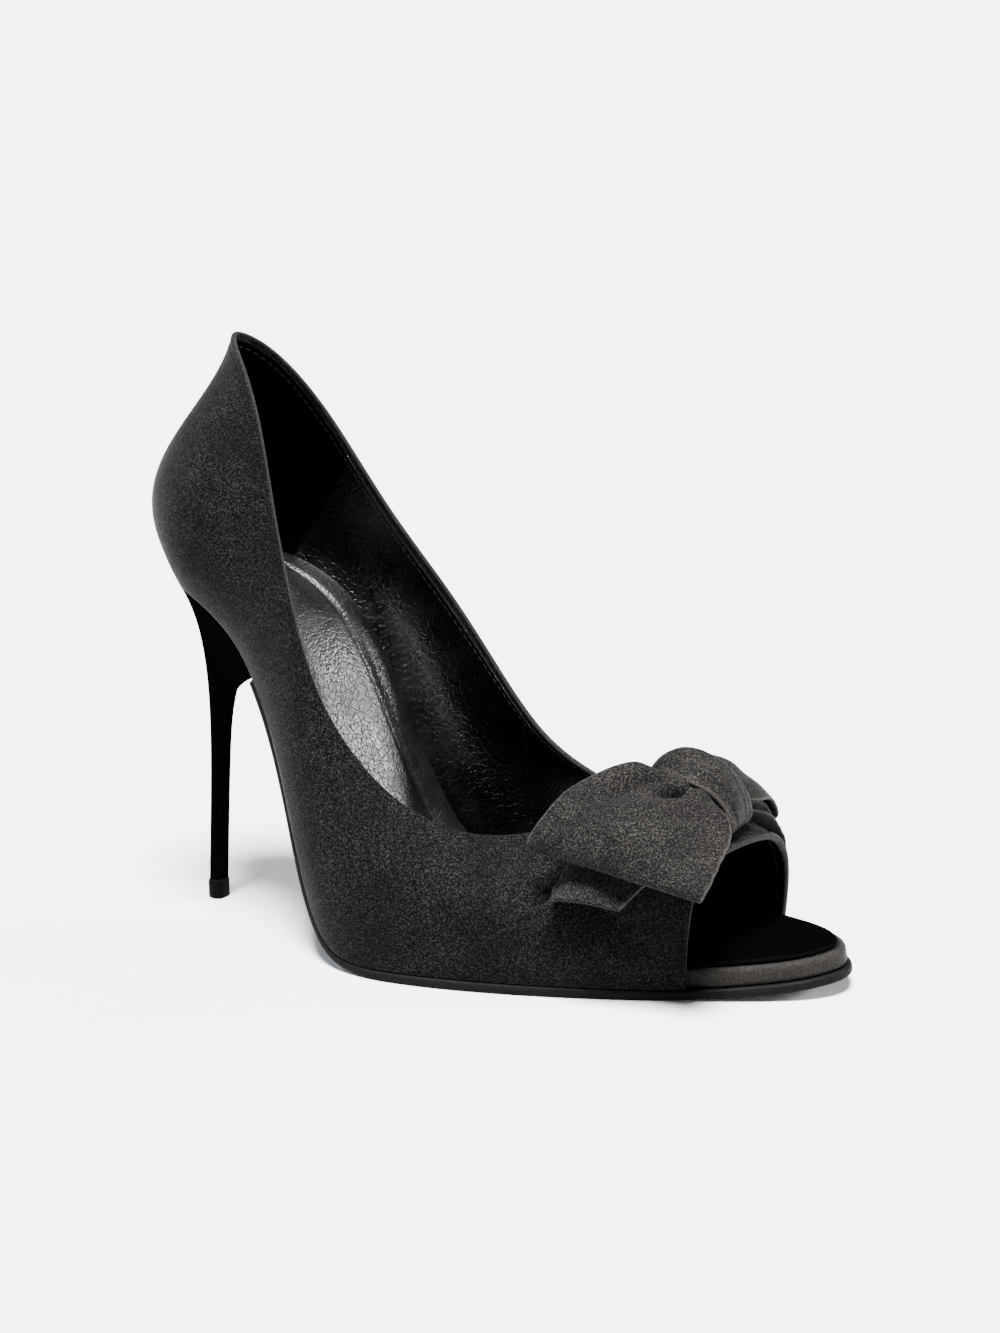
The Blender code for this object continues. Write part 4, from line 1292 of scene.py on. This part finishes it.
def beyond(border, before):
    """The line just outside a ribbon's border, which rounds its edge."""
    outward = border - before
    outward /= np.linalg.norm(outward, axis=1)[:, None]
    return border + outward * (RIBBON_THICKNESS / 2) * 0.5


def ribbon_piece(name, rows, side, relief, node):
    """A ribbon of even thickness with rounded edges. relief: how far the cloth is pushed out at (s, t)."""
    spline = Spline(rows)
    count = (len(rows) - 1) * RIBBON_FINE_STEPS
    middle = np.zeros((count + 1, RIBBON_FINE_ACROSS + 1, 3))
    for i in range(count + 1):
        turn_a, along_a, lift_a, turn_b, along_b, lift_b, hollow = spline(i / RIBBON_FINE_STEPS)
        for j in range(RIBBON_FINE_ACROSS + 1):
            t = j / RIBBON_FINE_ACROSS
            lift = lift_a + (lift_b - lift_a) * t - hollow * math.sin(math.pi * t)
            turn = side * (turn_a + (turn_b - turn_a) * t)
            middle[i, j] = vamp.point(turn, along_a + (along_b - along_a) * t, lift * LOOP_HEIGHT)
    middle = smooth_grid(middle, 12)
    push = np.array([[relief(i / count, j / RIBBON_FINE_ACROSS) for j in range(RIBBON_FINE_ACROSS + 1)]
                     for i in range(count + 1)])
    middle = middle + grid_normals(middle) * push[:, :, None]
    normal = grid_normals(middle)
    half = RIBBON_THICKNESS / 2
    last = RIBBON_FINE_ACROSS
    thin = [0.75 if j in (0, last) else 1.0 for j in range(last + 1)]
    columns = [middle[:, j] + normal[:, j] * half * thin[j] for j in range(last + 1)]
    columns.append(beyond(middle[:, last], middle[:, last - 1]))
    columns += [middle[:, j] - normal[:, j] * half * thin[j] for j in range(last, -1, -1)]
    columns.append(beyond(middle[:, 0], middle[:, 1]))
    rings = np.stack(columns, axis=1)
    flat, faces, uvs = capped_tube(rings)
    gap = np.linalg.norm(middle - middle[:, :1], axis=2)
    gap = np.minimum(gap, np.linalg.norm(middle - middle[:, -1:], axis=2))
    none = np.zeros((count + 1, 1))
    marks = {"edge": np.concatenate([gap, none, gap[:, ::-1], none], axis=1)}
    made = piece_from(
        name, flat, faces, [bow_satin], [0] * len(faces), uvs, marks, node)
    length = float(np.linalg.norm(np.diff(middle, axis=0), axis=2).sum(axis=0).mean())
    width = float(np.linalg.norm(np.diff(middle, axis=1), axis=2).sum(axis=1).mean())
    print(name, "cut, mm:", round(width * 1000, 1), "by", round(length * 1000, 1))
    return made, width, length


def trough(s, t, along, across, reach_s, reach_t, slant=0.0):
    """A soft hollow centred at (along, across), stretched along the ribbon and slanted across it."""
    ds, dt = s - along, t - across - slant * (s - along)
    return math.exp(-((ds / reach_s) ** 2) - (dt / reach_t) ** 2)


def pleats(s, t, depth, waves, start):
    """Pleats that start at the knot, deepest there. waves: how many lie across the ribbon."""
    gather = math.exp(-s / 0.12) + math.exp(-(1 - s) / 0.08)
    return depth * gather * math.sin(2 * math.pi * (waves * t + start)) * faded(s, 0.0, 0.05)


def clear_of_knot(s):
    """0 at both ends of a loop and 1 between them."""
    return faded(s, 0.02, 0.10) * faded(1 - s, 0.02, 0.10)


def outer_relief(s, t):
    pinch = -0.0058 * trough(s, t, 0.190, 0.52, 0.085, 0.085, -1.1)
    shoulder = 0.0014 * trough(s, t, 0.15, 0.72, 0.09, 0.14) + 0.0010 * trough(s, t, 0.13, 0.25, 0.07, 0.14)
    long_hollow = -0.0030 * trough(s, t, 0.29, 0.25, 0.12, 0.085, -0.7)
    near_hollow = -0.0026 * trough(s, t, 0.38, 0.80, 0.08, 0.085, -0.6)
    swell = 0.0012 * trough(s, t, 0.44, 0.52, 0.14, 0.16)
    folds = pinch + shoulder + long_hollow + near_hollow + swell
    return folds * clear_of_knot(s) + pleats(s, t, 0.00045, 2.6, 0.15)


def inner_relief(s, t):
    pinch = -0.0016 * trough(s, t, 0.20, 0.45, 0.06, 0.10, 0.5)
    hollow = -0.0007 * trough(s, t, 0.38, 0.65, 0.12, 0.12, -0.4)
    return (pinch + hollow) * clear_of_knot(s) + pleats(s, t, 0.00040, 2.4, 0.4)


def tail_relief(s, t):
    """A soft wave, and the back edge folded under near the cut end."""
    wave = 0.0005 * math.sin(2 * math.pi * (1.1 * t + 0.7 * s))
    fold = -0.0030 * faded(0.24 - t, 0.0, 0.24) * faded(s, 0.5, 0.9)
    return wave * faded(s, 0.15, 0.5) + fold


RIBBONS = (
    ("satin_loop_outer", OUTER_LOOP, -1, outer_relief, "bow_loop_outer"),
    ("satin_loop_inner", INNER_LOOP, 1, inner_relief, "bow_loop_inner"),
    ("satin_tail_outer", OUTER_TAIL, -1, tail_relief, "bow_tail_outer"),
    ("satin_tail_inner", INNER_TAIL, 1, tail_relief, "bow_tail_inner"),
)
for ribbon in RIBBONS:
    made, width, length = ribbon_piece(*ribbon)

# %% Knot band
KNOT_FINE_AROUND = 120
KNOT_FINE_ACROSS = 36
KNOT_UV_ALONG = 0.0007
KNOT_UV_ACROSS = 0.0004


def knot_relief(aside, lift):
    """Three pressed pleats that run along the band."""
    over = faded(lift, 0.15 * KNOT_HEIGHT, 0.55 * KNOT_HEIGHT)
    pleat = -0.0007 * bell((aside + 0.70) / 0.07) - 0.0003 * bell((aside - 0.15) / 0.10)
    pleat -= 0.0004 * bell((aside - 0.62) / 0.08)
    return pleat * over


profile = Spline([(along * SHOE_LENGTH, lift * KNOT_HEIGHT) for along, lift in KNOT], closed=True)
outside = np.zeros((KNOT_FINE_AROUND, KNOT_FINE_ACROSS + 1, 3))
inside = np.zeros_like(outside)
for k in range(KNOT_FINE_AROUND):
    place = k * len(KNOT) / KNOT_FINE_AROUND
    x, lift = profile(place)
    step = profile(place + 0.05) - profile(place - 0.05)
    step /= np.linalg.norm(step)
    for i in range(KNOT_FINE_ACROSS + 1):
        aside = 2 * i / KNOT_FINE_ACROSS - 1
        turn = aside * KNOT_TURN
        crown = 1 - 0.24 * aside * aside * faded(lift, 0.0, 0.5 * KNOT_HEIGHT)
        press = -knot_relief(aside, lift)
        at_x, at_lift = x + press * step[1], lift - press * step[0]
        outside[k, i] = vamp.point(turn, at_x / SHOE_LENGTH, at_lift * crown)
        at_x, at_lift = x + KNOT_BAND * step[1], lift - KNOT_BAND * step[0]
        inside[k, i] = vamp.point(turn, at_x / SHOE_LENGTH, at_lift * crown)
thick = inside - outside
columns = [outside[:, i] for i in range(KNOT_FINE_ACROSS + 1)]
columns[0] = outside[:, 0] + thick[:, 0] * 0.15
columns[-1] = outside[:, -1] + thick[:, -1] * 0.15
bulge = (outside[:, -1] - outside[:, -2]) * 0.8
columns.append((outside[:, -1] + inside[:, -1]) / 2 + bulge)
columns += [inside[:, i] for i in range(KNOT_FINE_ACROSS, -1, -1)]
bulge = (outside[:, 0] - outside[:, 1]) * 0.8
columns.append((outside[:, 0] + inside[:, 0]) / 2 + bulge)
rings = np.stack(columns, axis=1)
count, around = rings.shape[:2]
run = np.arange(count + 1) * KNOT_UV_ALONG
girth = np.arange(around + 1) * KNOT_UV_ACROSS
flat, faces, uvs, _ = grid(rings, run, np.tile(girth, (count + 1, 1)), wrap_rows=True, wrap_columns=True)
from_left = np.arange(KNOT_FINE_ACROSS + 1)
gap = np.minimum(from_left, KNOT_FINE_ACROSS - from_left) * KNOT_UV_ACROSS
edge = np.tile(np.concatenate([gap, [0.0], gap[::-1], [0.0]]), (count, 1))
marks = {"edge": edge}
piece_from(
    "satin_knot", flat, faces, [bow_satin], [0] * len(faces), uvs, marks, "bow_knot")

# %% [markdown]
# ## Floor, light and camera
#
# The shoe stands on a plain pale floor. A high sun with a wide disc is the key light and gives the soft
# shadow. Three weaker suns shape the black pieces: one grazes the sock's padding from the toe's inner side,
# one comes from the outer side, where the camera stands, and a bluish one from behind the heel. The camera
# repeats the photo's angle.

# %% Floor
FLOOR_GREY = 0.60
FLOOR_REACH = 40.0
floor_mesh = bpy.data.meshes.new("studio_floor")
corners = [(x * FLOOR_REACH, y * FLOOR_REACH, 0) for x, y in ((-1, -1), (1, -1), (1, 1), (-1, 1))]
floor_mesh.from_pydata(corners, [], [(0, 1, 2, 3)])
floor = placed("studio_floor", floor_mesh)
floor_finish = Finish("studio_floor", {
    "Roughness": 0.9, "Specular IOR Level": 0.1, "Base Color": (FLOOR_GREY, FLOOR_GREY, FLOOR_GREY, 1)})
floor_mesh.materials.append(floor_finish.material)

# %% Light
WORLD_LIGHT = 0.10
SUNS = (
    # name, direction, strength, its disc in degrees, colour
    ("key", (-0.10, 0.27, -0.96), 31.0, 20, (1.0, 1.0, 1.0)),
    ("kicker", (-0.79, -0.52, -0.32), 6.0, 12, (1.0, 1.0, 1.0)),
    ("front", (0.04, 0.95, -0.30), 1.0, 10, (1.0, 1.0, 1.0)),
    ("side", (0.85, 0.20, -0.42), 2.6, 30, (0.80, 0.90, 1.0)),
)
world = bpy.data.worlds.new("studio")
world.use_nodes = True
background = world.node_tree.nodes["Background"]
background.inputs["Color"].default_value = (1.0, 1.0, 1.0, 1.0)
background.inputs["Strength"].default_value = WORLD_LIGHT
bpy.context.scene.world = world
for name, direction, strength, disc, colour in SUNS:
    data = bpy.data.lights.new(name, "SUN")
    data.energy = strength
    data.angle = math.radians(disc)
    data.color = colour
    made = placed(name, data)
    made.rotation_mode = "QUATERNION"
    made.rotation_quaternion = Vector(direction).to_track_quat("-Z", "Y")

# %% Camera
CAMERA_AZIMUTH = 26.5
CAMERA_ELEVATION = 14.0
CAMERA_PLACE = (0.388123, -0.770349, 0.296434)
LENS = 85.955
camera_data = bpy.data.cameras.new("camera")
camera_data.lens = LENS
camera_data.sensor_width = 36.0
camera_data.clip_start = 0.01
camera_data.clip_end = 100.0
camera = placed("camera", camera_data)
camera.location = CAMERA_PLACE
a, e = math.radians(CAMERA_AZIMUTH), math.radians(CAMERA_ELEVATION)
back = Vector((math.sin(a) * math.cos(e), -math.cos(a) * math.cos(e), math.sin(e)))
camera.rotation_mode = "QUATERNION"
camera.rotation_quaternion = (-back).to_track_quat("-Z", "Y")
bpy.context.scene.camera = camera
